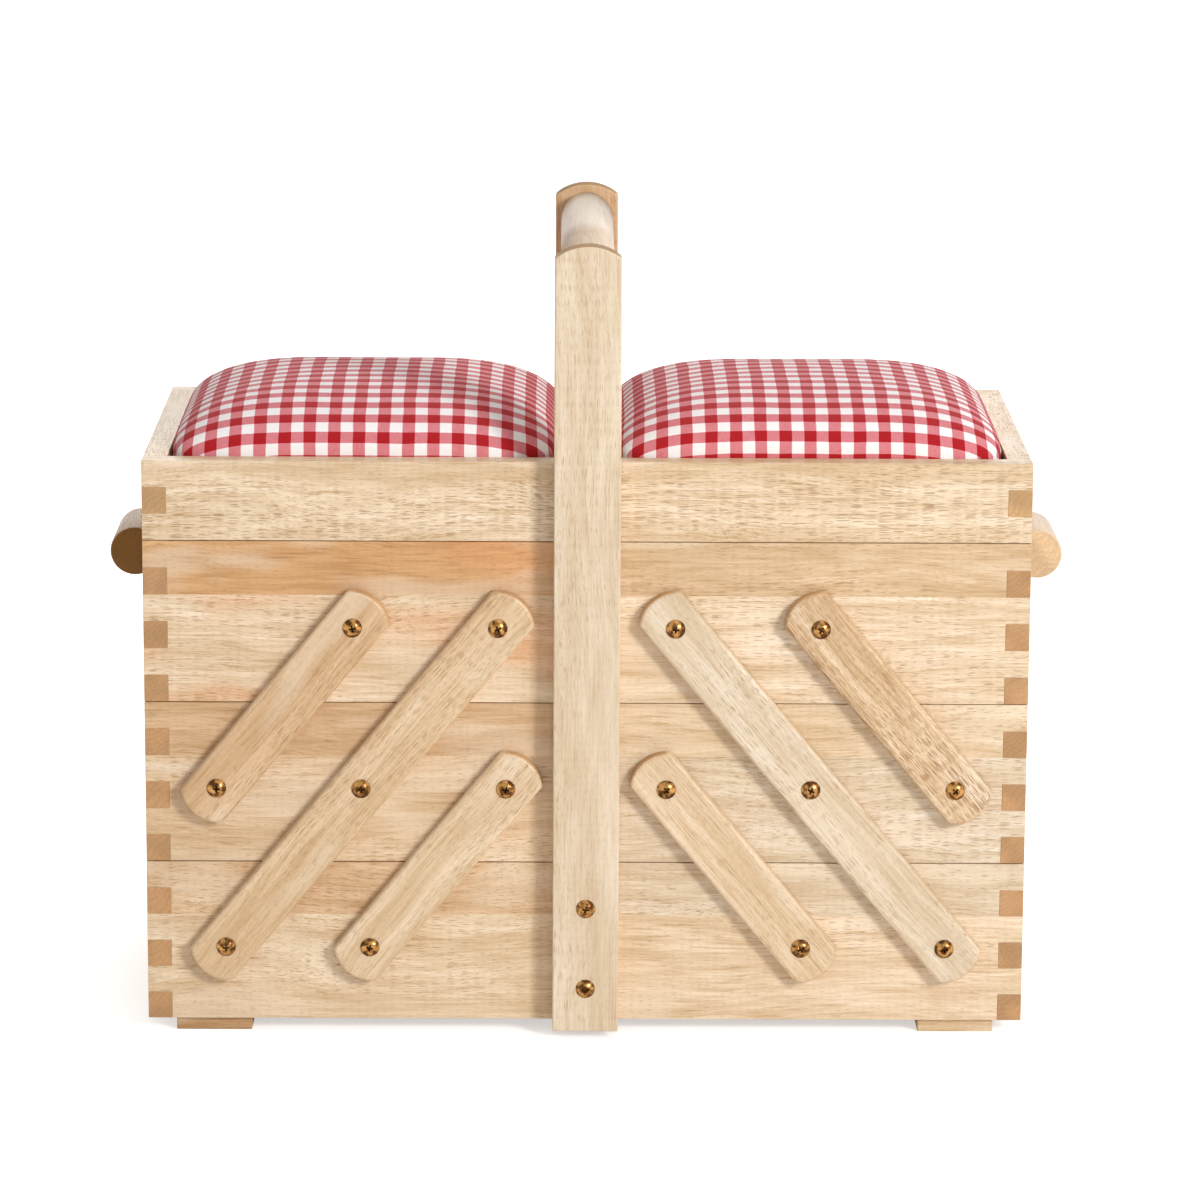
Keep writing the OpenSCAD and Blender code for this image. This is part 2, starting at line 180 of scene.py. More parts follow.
class Sketch:
    """A node tree under construction, with one method for each kind of node it needs."""

    def __init__(
        self, owner: bpy.types.Material | bpy.types.World, shader: str = "Principled BSDF"
    ) -> None:
        """Starts on a new material or world.

        Args:
            owner: The material or world.
            shader: Name of the shader that it comes with.
        """
        owner.use_nodes = True
        self.owner = owner
        self.tree = owner.node_tree
        self.shader = self.tree.nodes[shader]

    def feed(self, socket: bpy.types.NodeSocket, value: Value) -> None:
        """Links an output to a socket, or sets the socket to a constant.

        Args:
            socket: The input socket.
            value: The output or the constant.
        """
        if isinstance(value, Wire):
            self.tree.links.new(value.socket, socket)
        else:
            socket.default_value = value

    def wire(
        self, kind: str, inputs: dict[int | str, Value], output: int | str = 0, **settings: object
    ) -> Wire:
        """Adds a node.

        Args:
            kind: Blender's name for the node type.
            inputs: Values or outputs for its sockets.
            output: The socket whose output is wanted.
            **settings: Values for the node's own properties.

        Returns:
            The wanted output.
        """
        node = self.tree.nodes.new(kind)
        for key, value in settings.items():
            setattr(node, key, value)
        for key, value in inputs.items():
            self.feed(node.inputs[key], value)
        return Wire(self, node.outputs[output])

    def coordinates(self, output: str = "Object") -> Wire:
        """The place on the piece, or its normal or UV."""
        return self.wire("ShaderNodeTexCoord", {}, output)

    def math(self, operation: str, first: Value, second: Value = 0.0, clamp: bool = False) -> Wire:
        """The result of a Math node."""
        return self.wire("ShaderNodeMath", {0: first, 1: second}, operation=operation, use_clamp=clamp)

    def measure(self, operation: str, first: Value, second: Value = (0.0, 0.0, 0.0)) -> Wire:
        """The number that a Vector Math node such as LENGTH gives."""
        return self.wire("ShaderNodeVectorMath", {0: first, 1: second}, 1, operation=operation)

    def mapped(self, source: Value, turn: Sequence[float], shift: Sequence[float], size: float) -> Wire:
        """A vector after a Mapping node has scaled, turned and then shifted it."""
        inputs = {"Vector": source, "Rotation": turn, "Location": shift, "Scale": (size, size, size)}
        return self.wire("ShaderNodeMapping", inputs)

    def noise(self, where: Value, detail: float = 2.0, scale: float = 1.0, output: str = "Fac") -> Wire:
        """A noise of about 0.5 on average, whose grain the vector and the scale set."""
        return self.wire("ShaderNodeTexNoise", {"Vector": where, "Scale": scale, "Detail": detail}, output)

    def cells(self, where: Value) -> tuple[Wire, Wire]:
        """Scatters points, one to a cell of size 1.

        Args:
            where: The vector to read them at.

        Returns:
            The distance to the nearest point, and that point's own random value.
        """
        distance = self.wire("ShaderNodeTexVoronoi", {"Vector": where, "Scale": 1.0}, "Distance")
        colour = Wire(self, distance.socket.node.outputs["Color"])
        return distance, self.parted(colour)[0]

    def between(
        self, value: Value, low: float, high: float, to_low: Value = 0.0, to_high: Value = 1.0
    ) -> Wire:
        """A value that eases from to_low at low to to_high at high, and stays level outside."""
        inputs = {0: value, 1: low, 2: high, 3: to_low, 4: to_high}
        return self.wire("ShaderNodeMapRange", inputs, interpolation_type="SMOOTHSTEP")

    def blend(self, share: Value, first: Value, second: Value, mode: str = "MIX") -> Wire:
        """A mix of two colours, with the given share of the second."""
        inputs = {0: share, 6: first, 7: second}
        return self.wire("ShaderNodeMix", inputs, 2, data_type="RGBA", blend_type=mode)

    def combined(self, x: Value, y: Value, z: Value) -> Wire:
        """A vector from three values."""
        return self.wire("ShaderNodeCombineXYZ", {0: x, 1: y, 2: z})

    def parted(self, source: Value) -> list[Wire]:
        """The three values of a vector."""
        node = self.wire("ShaderNodeSeparateXYZ", {0: source}).socket.node
        return [Wire(self, output) for output in node.outputs]

    def is_ray(self, kind: str) -> Wire:
        """1 where a ray is of the given kind, such as Camera."""
        return self.wire("ShaderNodeLightPath", {}, f"Is {kind} Ray")

    def seen_by_eye(self) -> Wire:
        """1 for camera, mirror and glass rays, and 0 for the light itself."""
        eye = self.math("MAXIMUM", self.is_ray("Camera"), self.is_ray("Glossy"))
        return self.math("MAXIMUM", eye, self.is_ray("Transmission"))

    def bump(self, height: Value, distance: float, strength: float) -> None:
        """Leads a height times a distance in metres to the shader's normal."""
        inputs = {"Height": height, "Distance": distance, "Strength": strength}
        self.set(Normal=self.wire("ShaderNodeBump", inputs, "Normal"))

    def set(self, **values: Value) -> None:
        """Sets or links the shader's sockets, with underscores for spaces in their names."""
        for key, value in values.items():
            self.feed(self.shader.inputs[key.replace("_", " ")], value)


# Finishes

@dataclass(frozen=True)
class WoodFinish:
    """Oiled rubberwood, glued up from two strips where the piece is wide enough.

    A scale is counted per millimetre, along and across the grain. Levels are the low and the
    high value of a noise, between which a pattern sets in.
    """

    tone: Tone
    seed: int
    grain: Grain = Grain.ALONG_X
    lean: float = 0.0
    upper_tone: Tone | None = None
    right_tones: tuple[Tone, Tone] | None = None
    strip_edge: float = NO_EDGE
    end_tone: Tone = Tone.END_GRAIN
    blush: float = 0.0
    pore_share: float = 1.0
    contrast: float = 1.0
    gloss: float = 0.45

    SEED_STEP = (97.0, 41.3, 23.7)
    STRIP_STEP = (311.0, 57.0, 83.0)
    SWAY_SCALE = (0.007, 0.020, 0.020)
    SWAY = 18.0
    BAND_SCALE = (0.004, 0.03, 0.03)
    # Scale and detail of a noise, its two levels, and by how much it darkens and lightens
    LAYERS = (
        ((0.0055, 0.085, 0.085), 2.0, 0.32, 0.68, 0.12, 0.08),
        (BAND_SCALE, 1.0, 0.35, 0.65, 0.06, 0.05),
        ((0.026, 0.30, 0.30), 3.0, 0.33, 0.67, 0.11, 0.07),
        ((0.05, 1.25, 1.25), 2.0, 0.30, 0.70, 0.11, 0.07),
        ((0.02, 0.95, 0.95), 2.0, 0.57, 0.70, 0.00, -0.25),
    )
    RED_POWER = 0.7
    BLUE_POWER = 1.5
    PATCH_SCALE = (0.010, 0.045, 0.045)
    PATCH_LEVELS = (0.52, 0.66)
    PATCH_SHARE = 0.42
    PATCH_COLOUR = (244, 226, 200)
    BLUSH_SCALE = (0.012, 0.03, 0.03)
    BLUSH_LEVELS = (0.48, 0.70)
    BLUSH_COLOUR = (226, 150, 92)
    PORE_SCALE = (0.14, 2.1, 2.1)
    PORE_LEVELS = (0.36, 0.60)
    LEAST_PORE = 0.24
    MOST_PORE = 0.62
    FLECK_SCALE = (0.24, 3.4, 3.4)
    FLECK = 0.55
    FLECK_STRENGTH = 0.6
    PORE_RIM = 0.16
    PORE_STRENGTH = 0.62
    PORE_COLOUR = (158, 112, 66)
    PORE_DEPTH = 0.12 * MM
    PORE_BUMP = 0.5
    SPECKLE_SCALE = (0.0, 1.1, 1.1)
    SPECKLE_LEVELS = (0.30, 0.75)
    SPECKLE_LIGHT = (1.06, 0.86)
    BEND_SCALE = (0.0, 0.055, 0.055)
    BEND_LEVELS = (0.36, 0.64)
    BEND_LIGHT = (0.86, 1.09)
    BEND = 30.0
    RING = (0.0, 1.5, 1.9)
    RING_LIGHT = (0.955, 1.03)
    END_LEVELS = (0.62, 0.88)
    END_SHARE = 0.94
    SMOOTH = 0.38
    PORE_ROUGH = 0.62
    END_ROUGH = 0.45

    def turn(self) -> tuple[float, float, float]:
        """Rotation that lays the grain along X."""
        x, y, z = self.grain.value
        return x, y + self.lean, z

    def place(self, sketch: Sketch) -> tuple[Wire, Wire]:
        """Lays out the pattern's place.

        Args:
            sketch: The material under construction.

        Returns:
            The place in millimetres with the grain along X, and 1 in the upper strip.
        """
        point = sketch.coordinates()
        upper = sketch.math("GREATER_THAN", sketch.parted(point)[2], self.strip_edge)
        shift = tuple(self.seed * step for step in self.SEED_STEP)
        along = sketch.mapped(point, self.turn(), shift, 1 / MM)
        along = along + sketch.combined(upper, upper, upper) * self.STRIP_STEP
        sway = (sketch.noise(along * self.SWAY_SCALE, 1.0) - 0.5) * self.SWAY
        return along + sketch.combined(0.0, sway, sway), upper

    def colour(self, sketch: Sketch, place: Wire, upper: Wire) -> Wire:
        """Paints streaks, bands, fine lines and the blush over the strips' tones.

        Args:
            sketch: The material under construction.
            place: Place in the pattern.
            upper: 1 in the upper strip.

        Returns:
            The wood's colour without its pores.
        """
        tone = self.strip_tone(sketch, upper, self.tone, self.upper_tone)
        if self.right_tones is not None:
            right = sketch.math("GREATER_THAN", sketch.parted(sketch.coordinates())[0], 0.0)
            tone = sketch.blend(right, tone, self.strip_tone(sketch, upper, *self.right_tones))
        light: Value = 1.0
        for scale, detail, low, high, deep, pale in self.LAYERS:
            ends = 1 - deep * self.contrast, 1 + pale * self.contrast
            light = sketch.between(sketch.noise(place * scale, detail), low, high, *ends) * light
        red, blue = (sketch.math("POWER", light, power) for power in (self.RED_POWER, self.BLUE_POWER))
        wood = sketch.blend(1.0, tone, sketch.combined(red, light, blue), "MULTIPLY")
        patch = sketch.noise(place * self.PATCH_SCALE)
        patch = sketch.between(patch, *self.PATCH_LEVELS, 0.0, self.PATCH_SHARE * self.contrast)
        wood = sketch.blend(patch, wood, display_colour(*self.PATCH_COLOUR))
        if self.blush:
            spread = sketch.noise(place * self.BLUSH_SCALE, 1.0)
            spread = sketch.between(spread, *self.BLUSH_LEVELS, 0.0, self.blush)
            wood = sketch.blend(spread, wood, display_colour(*self.BLUSH_COLOUR))
        return wood

    @staticmethod
    def strip_tone(sketch: Sketch, upper: Wire, low_tone: Tone, high_tone: Tone | None) -> Value:
        """The tone of the lower strip, and of the upper one where there are two."""
        low = low_tone.linear
        return low if high_tone is None else sketch.blend(upper, low, high_tone.linear)

    def pores(self, sketch: Sketch, place: Wire) -> Wire:
        """Scatters dark dashes along the grain, long ones in zones and fine ones between.

        Args:
            sketch: The material under construction.
            place: Place in the pattern.

        Returns:
            Up to 1 in a pore and 0 outside.
        """
        zone = sketch.noise(place * self.BAND_SCALE, 1.0)
        most = sketch.between(zone, *self.PORE_LEVELS, self.LEAST_PORE, self.MOST_PORE * self.pore_share)
        long = self.dashes(sketch, place * self.PORE_SCALE, most)
        fine = self.dashes(sketch, place * self.FLECK_SCALE, self.FLECK * self.pore_share)
        return sketch.math("MAXIMUM", long, fine * self.FLECK_STRENGTH)

    def dashes(self, sketch: Sketch, place: Wire, most: Value) -> Wire:
        """One layer of pores, each of its own size up to most, as a share of its cell."""
        distance, size = sketch.cells(place)
        return sketch.between(size * most - distance, 0.0, self.PORE_RIM)

    def end_colour(self, sketch: Sketch, place: Wire) -> Wire:
        """Paints the cut end of the wood, with its growth rings and its pores as speckles.

        Args:
            sketch: The material under construction.
            place: Place in the pattern.

        Returns:
            The colour of the ends.
        """
        speckle = sketch.noise(place * self.SPECKLE_SCALE, 3.0)
        bend = sketch.noise(place * self.BEND_SCALE, 1.0)
        ring = sketch.math("SINE", sketch.measure("DOT_PRODUCT", place, self.RING) + bend * self.BEND)
        light = sketch.between(speckle, *self.SPECKLE_LEVELS, *self.SPECKLE_LIGHT)
        light = light * sketch.between(ring, -1.0, 1.0, *self.RING_LIGHT)
        light = light * sketch.between(bend, *self.BEND_LEVELS, *self.BEND_LIGHT)
        return sketch.blend(1.0, self.end_tone.linear, sketch.combined(light, light, light), "MULTIPLY")

    def end_mask(self, sketch: Sketch) -> Wire:
        """Finds the ends of a piece.

        Args:
            sketch: The material under construction.

        Returns:
            1 where the surface cuts across the grain.
        """
        axis = Euler(self.turn()).to_matrix()[0]
        across = sketch.measure("DOT_PRODUCT", sketch.coordinates("Normal"), tuple(axis))
        return sketch.between(sketch.math("ABSOLUTE", across), *self.END_LEVELS)

    def material(self, name: str) -> bpy.types.Material:
        """Builds the finish.

        Args:
            name: Name of the material.

        Returns:
            The material.
        """
        sketch = Sketch(bpy.data.materials.new(name))
        place, upper = self.place(sketch)
        wood = self.colour(sketch, place, upper)
        pores = self.pores(sketch, place)
        strength = pores * (self.PORE_STRENGTH * self.contrast)
        wood = sketch.blend(strength, wood, display_colour(*self.PORE_COLOUR))
        ends = self.end_mask(sketch)
        wood = sketch.blend(ends * self.END_SHARE, wood, self.end_colour(sketch, place))
        rough = sketch.between(pores, 0.0, 1.0, self.SMOOTH, self.PORE_ROUGH)
        rough = sketch.math("ADD", rough, ends * self.END_ROUGH, clamp=True)
        sketch.set(Base_Color=wood, Roughness=rough, Specular_IOR_Level=self.gloss)
        sketch.bump(sketch.math("SUBTRACT", 1.0, pores), self.PORE_DEPTH, self.PORE_BUMP)
        return sketch.owner


@dataclass(frozen=True)
class PlywoodFinish:
    """Rotary-cut plywood for the bottom panels and the lid boards."""

    seed: int
    grain: Grain = Grain.ALONG_X

    SEED_STEP = (83.0, 47.0, 0.0)
    PALE = (222, 192, 150)
    DEEP = (197, 158, 112)
    PALE_PLY = (204, 168, 122)
    DEEP_PLY = (150, 108, 68)
    FIGURE_SCALE = (0.004, 0.028, 0.028)
    RIPPLE = 7.0
    RIPPLE_SHARE = 0.22
    FIBRE_SCALE = (0.03, 1.3, 1.3)
    TONE_LEVELS = (0.25, 0.80)
    FACE_LEVELS = (0.50, 0.80)
    PLY = 1.33
    FIBRE_DEPTH = 0.06 * MM

    def material(self, name: str) -> bpy.types.Material:
        """Builds the finish.

        Args:
            name: Name of the material.

        Returns:
            The material.
        """
        sketch = Sketch(bpy.data.materials.new(name))
        shift = tuple(self.seed * step for step in self.SEED_STEP)
        place = sketch.mapped(sketch.coordinates(), self.grain.value, shift, 1 / MM)
        figure = sketch.noise(place * self.FIGURE_SCALE)
        rings = sketch.math("SINE", figure * (self.RIPPLE * 2 * math.pi))
        fibre = sketch.noise(place * self.FIBRE_SCALE, 3.0)
        tone = sketch.between(rings * self.RIPPLE_SHARE + fibre, *self.TONE_LEVELS)
        face = sketch.blend(tone, display_colour(*self.PALE), display_colour(*self.DEEP))
        layer = sketch.math("FRACT", sketch.parted(place)[2] / (2 * self.PLY))
        deep = sketch.math("GREATER_THAN", layer, 0.5)
        plies = sketch.blend(deep, display_colour(*self.PALE_PLY), display_colour(*self.DEEP_PLY))
        upright = sketch.math("ABSOLUTE", sketch.parted(sketch.coordinates("Normal"))[2])
        wood = sketch.blend(sketch.between(upright, *self.FACE_LEVELS), plies, face)
        sketch.set(Base_Color=wood, Roughness=0.6, Specular_IOR_Level=0.3)
        sketch.bump(fibre, self.FIBRE_DEPTH, 0.5)
        return sketch.owner


@dataclass(frozen=True)
class BrassFinish:
    """Antique brass with darker patches where it has tarnished."""

    seed: int = 0
    bright: tuple[int, int, int] = (180, 132, 76)
    tarnished: tuple[int, int, int] = (82, 52, 27)
    roughness: float = 0.24

    SEED_STEP = (13.0, 29.0, 7.0)
    PATCH = 0.32
    PATCH_LEVELS = (0.38, 0.60)
    BRUSH = 3.5
    BRUSH_LEVELS = (0.30, 0.70)
    SMOOTHER = 0.06
    ROUGHER = 0.1
    BRUSH_DEPTH = 0.03 * MM

    def material(self, name: str) -> bpy.types.Material:
        """Builds the finish.

        Args:
            name: Name of the material.

        Returns:
            The material.
        """
        sketch = Sketch(bpy.data.materials.new(name))
        shift = tuple(self.seed * step for step in self.SEED_STEP)
        place = sketch.mapped(sketch.coordinates(), (0.0, 0.0, 0.0), shift, 1 / MM)
        patch = sketch.noise(place, scale=self.PATCH)
        brush = sketch.noise(place, scale=self.BRUSH)
        worn = sketch.between(patch, *self.PATCH_LEVELS)
        colour = sketch.blend(worn, display_colour(*self.bright), display_colour(*self.tarnished))
        ends = self.roughness - self.SMOOTHER, self.roughness + self.ROUGHER
        rough = sketch.between(brush, *self.BRUSH_LEVELS, *ends)
        sketch.set(Base_Color=colour, Roughness=rough, Metallic=1.0)
        sketch.bump(brush, self.BRUSH_DEPTH, 0.4)
        return sketch.owner


@dataclass(frozen=True)
class GinghamFinish:
    """Woven cotton check. The cloth's own UV map holds metres along its two threads."""

    across_start: float = 0.0
    along_start: float = 0.0
    check: float = 12.27 * MM

    RED = (177, 20, 30)
    PINK = (220, 114, 124)
    WHITE = (253, 249, 249)
    STRIPE_EDGE = 0.07
    THREAD = 0.5 * MM
    THREAD_SHARE = 0.30
    WANDER = 1.4 * MM
    WANDER_SCALE = 42.0
    SLUB_SCALES = ((240.0, 2600.0, 0.0), (2600.0, 240.0, 0.0))
    SLUB_SHARE = 0.16
    SLUB_HEIGHT = 0.8
    PINK_LEVELS = (0.06, 0.50)
    RED_LEVELS = (0.55, 0.95)
    WEAVE_DEPTH = 0.07 * MM
    WEAVE_BUMP = 0.6

    def stripe(self, sketch: Sketch, place: Wire, start: float) -> Wire:
        """1 in a check's coloured stripe, whose middle is at start, and 0 in its white one."""
        wave = sketch.math("COSINE", (place - start) / self.check * (2 * math.pi))
        return sketch.between(wave, -self.STRIPE_EDGE, self.STRIPE_EDGE)

    def weave(self, sketch: Sketch, across: Wire, along: Wire) -> Wire:
        """1 where a warp thread lies on top, and 0 where a weft thread does."""
        warp, weft = (sketch.math("SINE", place * (2 * math.pi / self.THREAD)) for place in (across, along))
        return sketch.between(warp * weft, -0.5, 0.5)

    def material(self, name: str) -> bpy.types.Material:
        """Builds the finish.

        Args:
            name: Name of the material.

        Returns:
            The material.
        """
        sketch = Sketch(bpy.data.materials.new(name))
        cloth = sketch.coordinates("UV")
        wander = sketch.noise(cloth, scale=self.WANDER_SCALE, output="Color")
        shift = (wander - (0.5, 0.5, 0.5)) * (self.WANDER, self.WANDER, 0.0)
        across, along, _ = sketch.parted(cloth + shift)
        columns = self.stripe(sketch, across, self.across_start)
        rows = self.stripe(sketch, along, self.along_start)
        over = self.weave(sketch, across, along)
        slub, slub_across = (sketch.noise(cloth * scale) for scale in self.SLUB_SCALES)
        single = sketch.math("ABSOLUTE", columns - rows)
        thread = (over - 0.5) * self.THREAD_SHARE * single
        fleck = (slub + slub_across - 1.0) * self.SLUB_SHARE
        tint = sketch.math("ADD", (columns + rows) * 0.5 + thread, fleck, clamp=True)
        white, pink, red = (display_colour(*colour) for colour in (self.WHITE, self.PINK, self.RED))
        pale = sketch.blend(sketch.between(tint, *self.PINK_LEVELS), white, pink)
        colour = sketch.blend(sketch.between(tint, *self.RED_LEVELS), pale, red)
        sketch.set(Base_Color=colour, Roughness=0.82, Specular_IOR_Level=0.2)
        sketch.set(Sheen_Weight=0.12, Sheen_Roughness=0.5)
        sketch.bump(over + slub * self.SLUB_HEIGHT, self.WEAVE_DEPTH, self.WEAVE_BUMP)
        return sketch.owner


# The bench

def extruded(outline: Sequence[Vector], depth: Vector) -> bmesh.types.BMesh:
    """Shapes a solid of one thickness.

    Args:
        outline: Corners of one face, in order.
        depth: Way from that face to the opposite one.

    Returns:
        The solid.
    """
    solid = bmesh.new()
    face = solid.faces.new([solid.verts.new(corner) for corner in outline])
    raised = bmesh.ops.extrude_face_region(solid, geom=[face])
    moved = [item for item in raised["geom"] if isinstance(item, bmesh.types.BMVert)]
    bmesh.ops.translate(solid, verts=moved, vec=depth)
    bmesh.ops.recalc_face_normals(solid, faces=solid.faces)
    return solid


def round_edges(
    solid: bmesh.types.BMesh, edges: list[bmesh.types.BMEdge], radius: float, steps: int
) -> None:
    """Rounds some edges of a solid."""
    bmesh.ops.bevel(
        solid, geom=edges, offset=radius, offset_type="OFFSET", affect="EDGES",
        segments=steps, profile=0.5, material=-1, clamp_overlap=True,
    )


def turn_shape(shape: bmesh.types.BMesh, angle: float, axis: str, x: float = 0.0) -> None:
    """Turns a bench mesh about an axis that runs through x."""
    matrix = Matrix.Rotation(angle, 3, axis)
    bmesh.ops.rotate(shape, verts=shape.verts, cent=(x, 0, 0), matrix=matrix)


class Workpiece:
    """A piece being shaped at the bench, from its first block to its finish."""

    def __init__(self, name: str) -> None:
        """Starts with an empty mesh under the name of the finished piece."""
        self.name = name
        self.shape = bmesh.new()

    def slab(
        self, outline: Sequence[Vector], depth: Vector, round_over: float, steps: int = 2
    ) -> None:
        """Adds a solid of one thickness, with its edges rounded over.

        Args:
            outline: Corners of one face, in order.
            depth: Way from that face to the opposite one.
            round_over: Radius along every edge.
            steps: Flats in each rounding.
        """
        solid = extruded(outline, depth)
        round_edges(solid, list(solid.edges), round_over, steps)
        self.join(solid)

    def dowel(
        self, start: Vector, end: Vector, radius: float, sides: int = 64, round_over: float = 0.0
    ) -> None:
        """Adds a round bar.

        Args:
            start: Middle of one end.
            end: Middle of the other end.
            radius: Radius of the bar.
            sides: Number of sides.
            round_over: Radius along the rims of its ends.
        """
        solid = bmesh.new()
        way = end - start
        turn = Vector((0, 0, 1)).rotation_difference(way).to_matrix().to_4x4()
        bmesh.ops.create_cone(
            solid, cap_ends=True, segments=sides, radius1=radius, radius2=radius,
            depth=way.length, matrix=Matrix.Translation((start + end) / 2) @ turn,
        )
        if round_over:
            level = TOUCH * way.length
            rims = [e for e in solid.edges if abs((e.verts[0].co - e.verts[1].co).dot(way)) < level]
            round_edges(solid, rims, round_over, RIM_STEPS)
        self.join(solid)

    def join(self, solid: bmesh.types.BMesh) -> None:
        """Adds a solid to the piece and frees it.

        Args:
            solid: The solid.
        """
        mesh = bpy.data.meshes.new("joined")
        solid.to_mesh(mesh)
        solid.free()
        self.shape.from_mesh(mesh)
        bpy.data.meshes.remove(mesh)

    def carve(self, cutter: "Workpiece") -> None:
        """Cuts the space of another workpiece out of this one.

        Args:
            cutter: The space to cut, which is used up.
        """
        body = self.to_object("carved")
        tool = cutter.to_object("cutter")
        cut = body.modifiers.new("carve", "BOOLEAN")
        cut.operation = "DIFFERENCE"
        cut.solver = "EXACT"
        cut.use_self = True
        cut.object = tool
        seen = body.evaluated_get(bpy.context.evaluated_depsgraph_get())
        mesh = bpy.data.meshes.new_from_object(seen)
        self.shape = bmesh.new()
        self.shape.from_mesh(mesh)
        used = body.data, tool.data, mesh
        for item in (body, tool):
            bpy.data.objects.remove(item)
        for old in used:
            bpy.data.meshes.remove(old)

    def to_object(self, name: str) -> bpy.types.Object:
        """Turns the bench mesh into an object of the scene.

        Args:
            name: Name of the object.

        Returns:
            The object, at the origin.
        """
        mesh = bpy.data.meshes.new(name)
        self.shape.to_mesh(mesh)
        self.shape.free()
        made = bpy.data.objects.new(name, mesh)
        bpy.context.scene.collection.objects.link(made)
        return made

    def smooth(self, where: Callable[[bmesh.types.BMFace], bool]) -> None:
        """Shades the chosen faces as one curved surface.

        Args:
            where: Tells whether a face is one of them.
        """
        self.shape.normal_update()
        for face in self.shape.faces:
            face.smooth = where(face)

    def dress(self, body: str, slot: str, node: str, *finishes: bpy.types.Material) -> None:
        """Finishes the piece and hands it to its body.

        Args:
            body: The body that it rides on.
            slot: The material slot meant for it; not used.
            node: The node of the frame that it stands for.
            *finishes: Its finish, and those of its further material indices.
        """
        made = self.to_object(self.name)
        for finish in finishes:
            made.data.materials.append(finish)
        hand_over(made, body, node)


def hand_over(piece: bpy.types.Object, body: str, node: str) -> None:
    """Lets a finished piece ride on its body in place of its node.

    Args:
        piece: The finished object.
        body: The body that it rides on.
        node: The node that it stands for.
    """
    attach(piece, body)
    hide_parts(node)
    log.info("%s: %d faces, rides on %s", piece.name, len(piece.data.polygons), body)


def dress_node(node: str, material: bpy.types.Material) -> None:
    """Gives a node that keeps its own shape its finish.

    Args:
        node: Name of the node.
        material: The finish.
    """
    made = frame["nodes"][node]
    if not made.material_slots:
        made.data.materials.append(material)
    for slot in made.material_slots:
        slot.material = material
    log.info("%s: keeps its shape, finish %s", node, material.name)


def joint_place(name: str) -> Vector:
    """Place of a joint's axis in the plane of y = 0."""
    return Vector(next(joint["pos_m"] for joint in frame["joints"] if joint["name"] == name))


def block(name: str, low: Vector, high: Vector, fit: float = 0.0) -> Workpiece:
    """Shapes a plain block between two corners.

    Args:
        name: Name of the workpiece.
        low: Lowest corner.
        high: Highest corner.
        fit: Room to add on all sides.

    Returns:
        The block.
    """
    piece = Workpiece(name)
    room = Vector((fit,) * 3)
    low, high = low - room, high + room
    size = Matrix.Diagonal((*(high - low), 1.0))
    bmesh.ops.create_cube(piece.shape, size=1.0, matrix=Matrix.Translation((low + high) / 2) @ size)
    return piece


# Trays and lid frames

def leaf_plates(node: str) -> list[tuple[Vector, Vector]]:
    """Finds the flat plates of the two hinge leaves that lie in the edge of an end wall.

    Args:
        node: Name of the node of two leaves.

    Returns:
        Lowest and highest corner of each plate.
    """
    low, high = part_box(node)
    side = Side.LEFT if low.x < 0 else Side.RIGHT
    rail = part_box(f"{side.value}_lid_outer_rail")
    seam = (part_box(f"{side.value}_top_outer_wall")[1].z + rail[0].z) / 2
    x = (rail[0].x - LEAF_REACH, high.x) if side is Side.LEFT else (low.x, rail[1].x + LEAF_REACH)
    z = rail[0].z - LEAF_REACH, rail[0].z + LEAF_THICKNESS
    if "lid" not in node:
        z = 2 * seam - z[1], 2 * seam - z[0]
    return [
        (Vector((x[0], y, z[0])), Vector((x[1], y + HINGE_LENGTH, z[1])))
        for y in (low.y, high.y - HINGE_LENGTH)
    ]


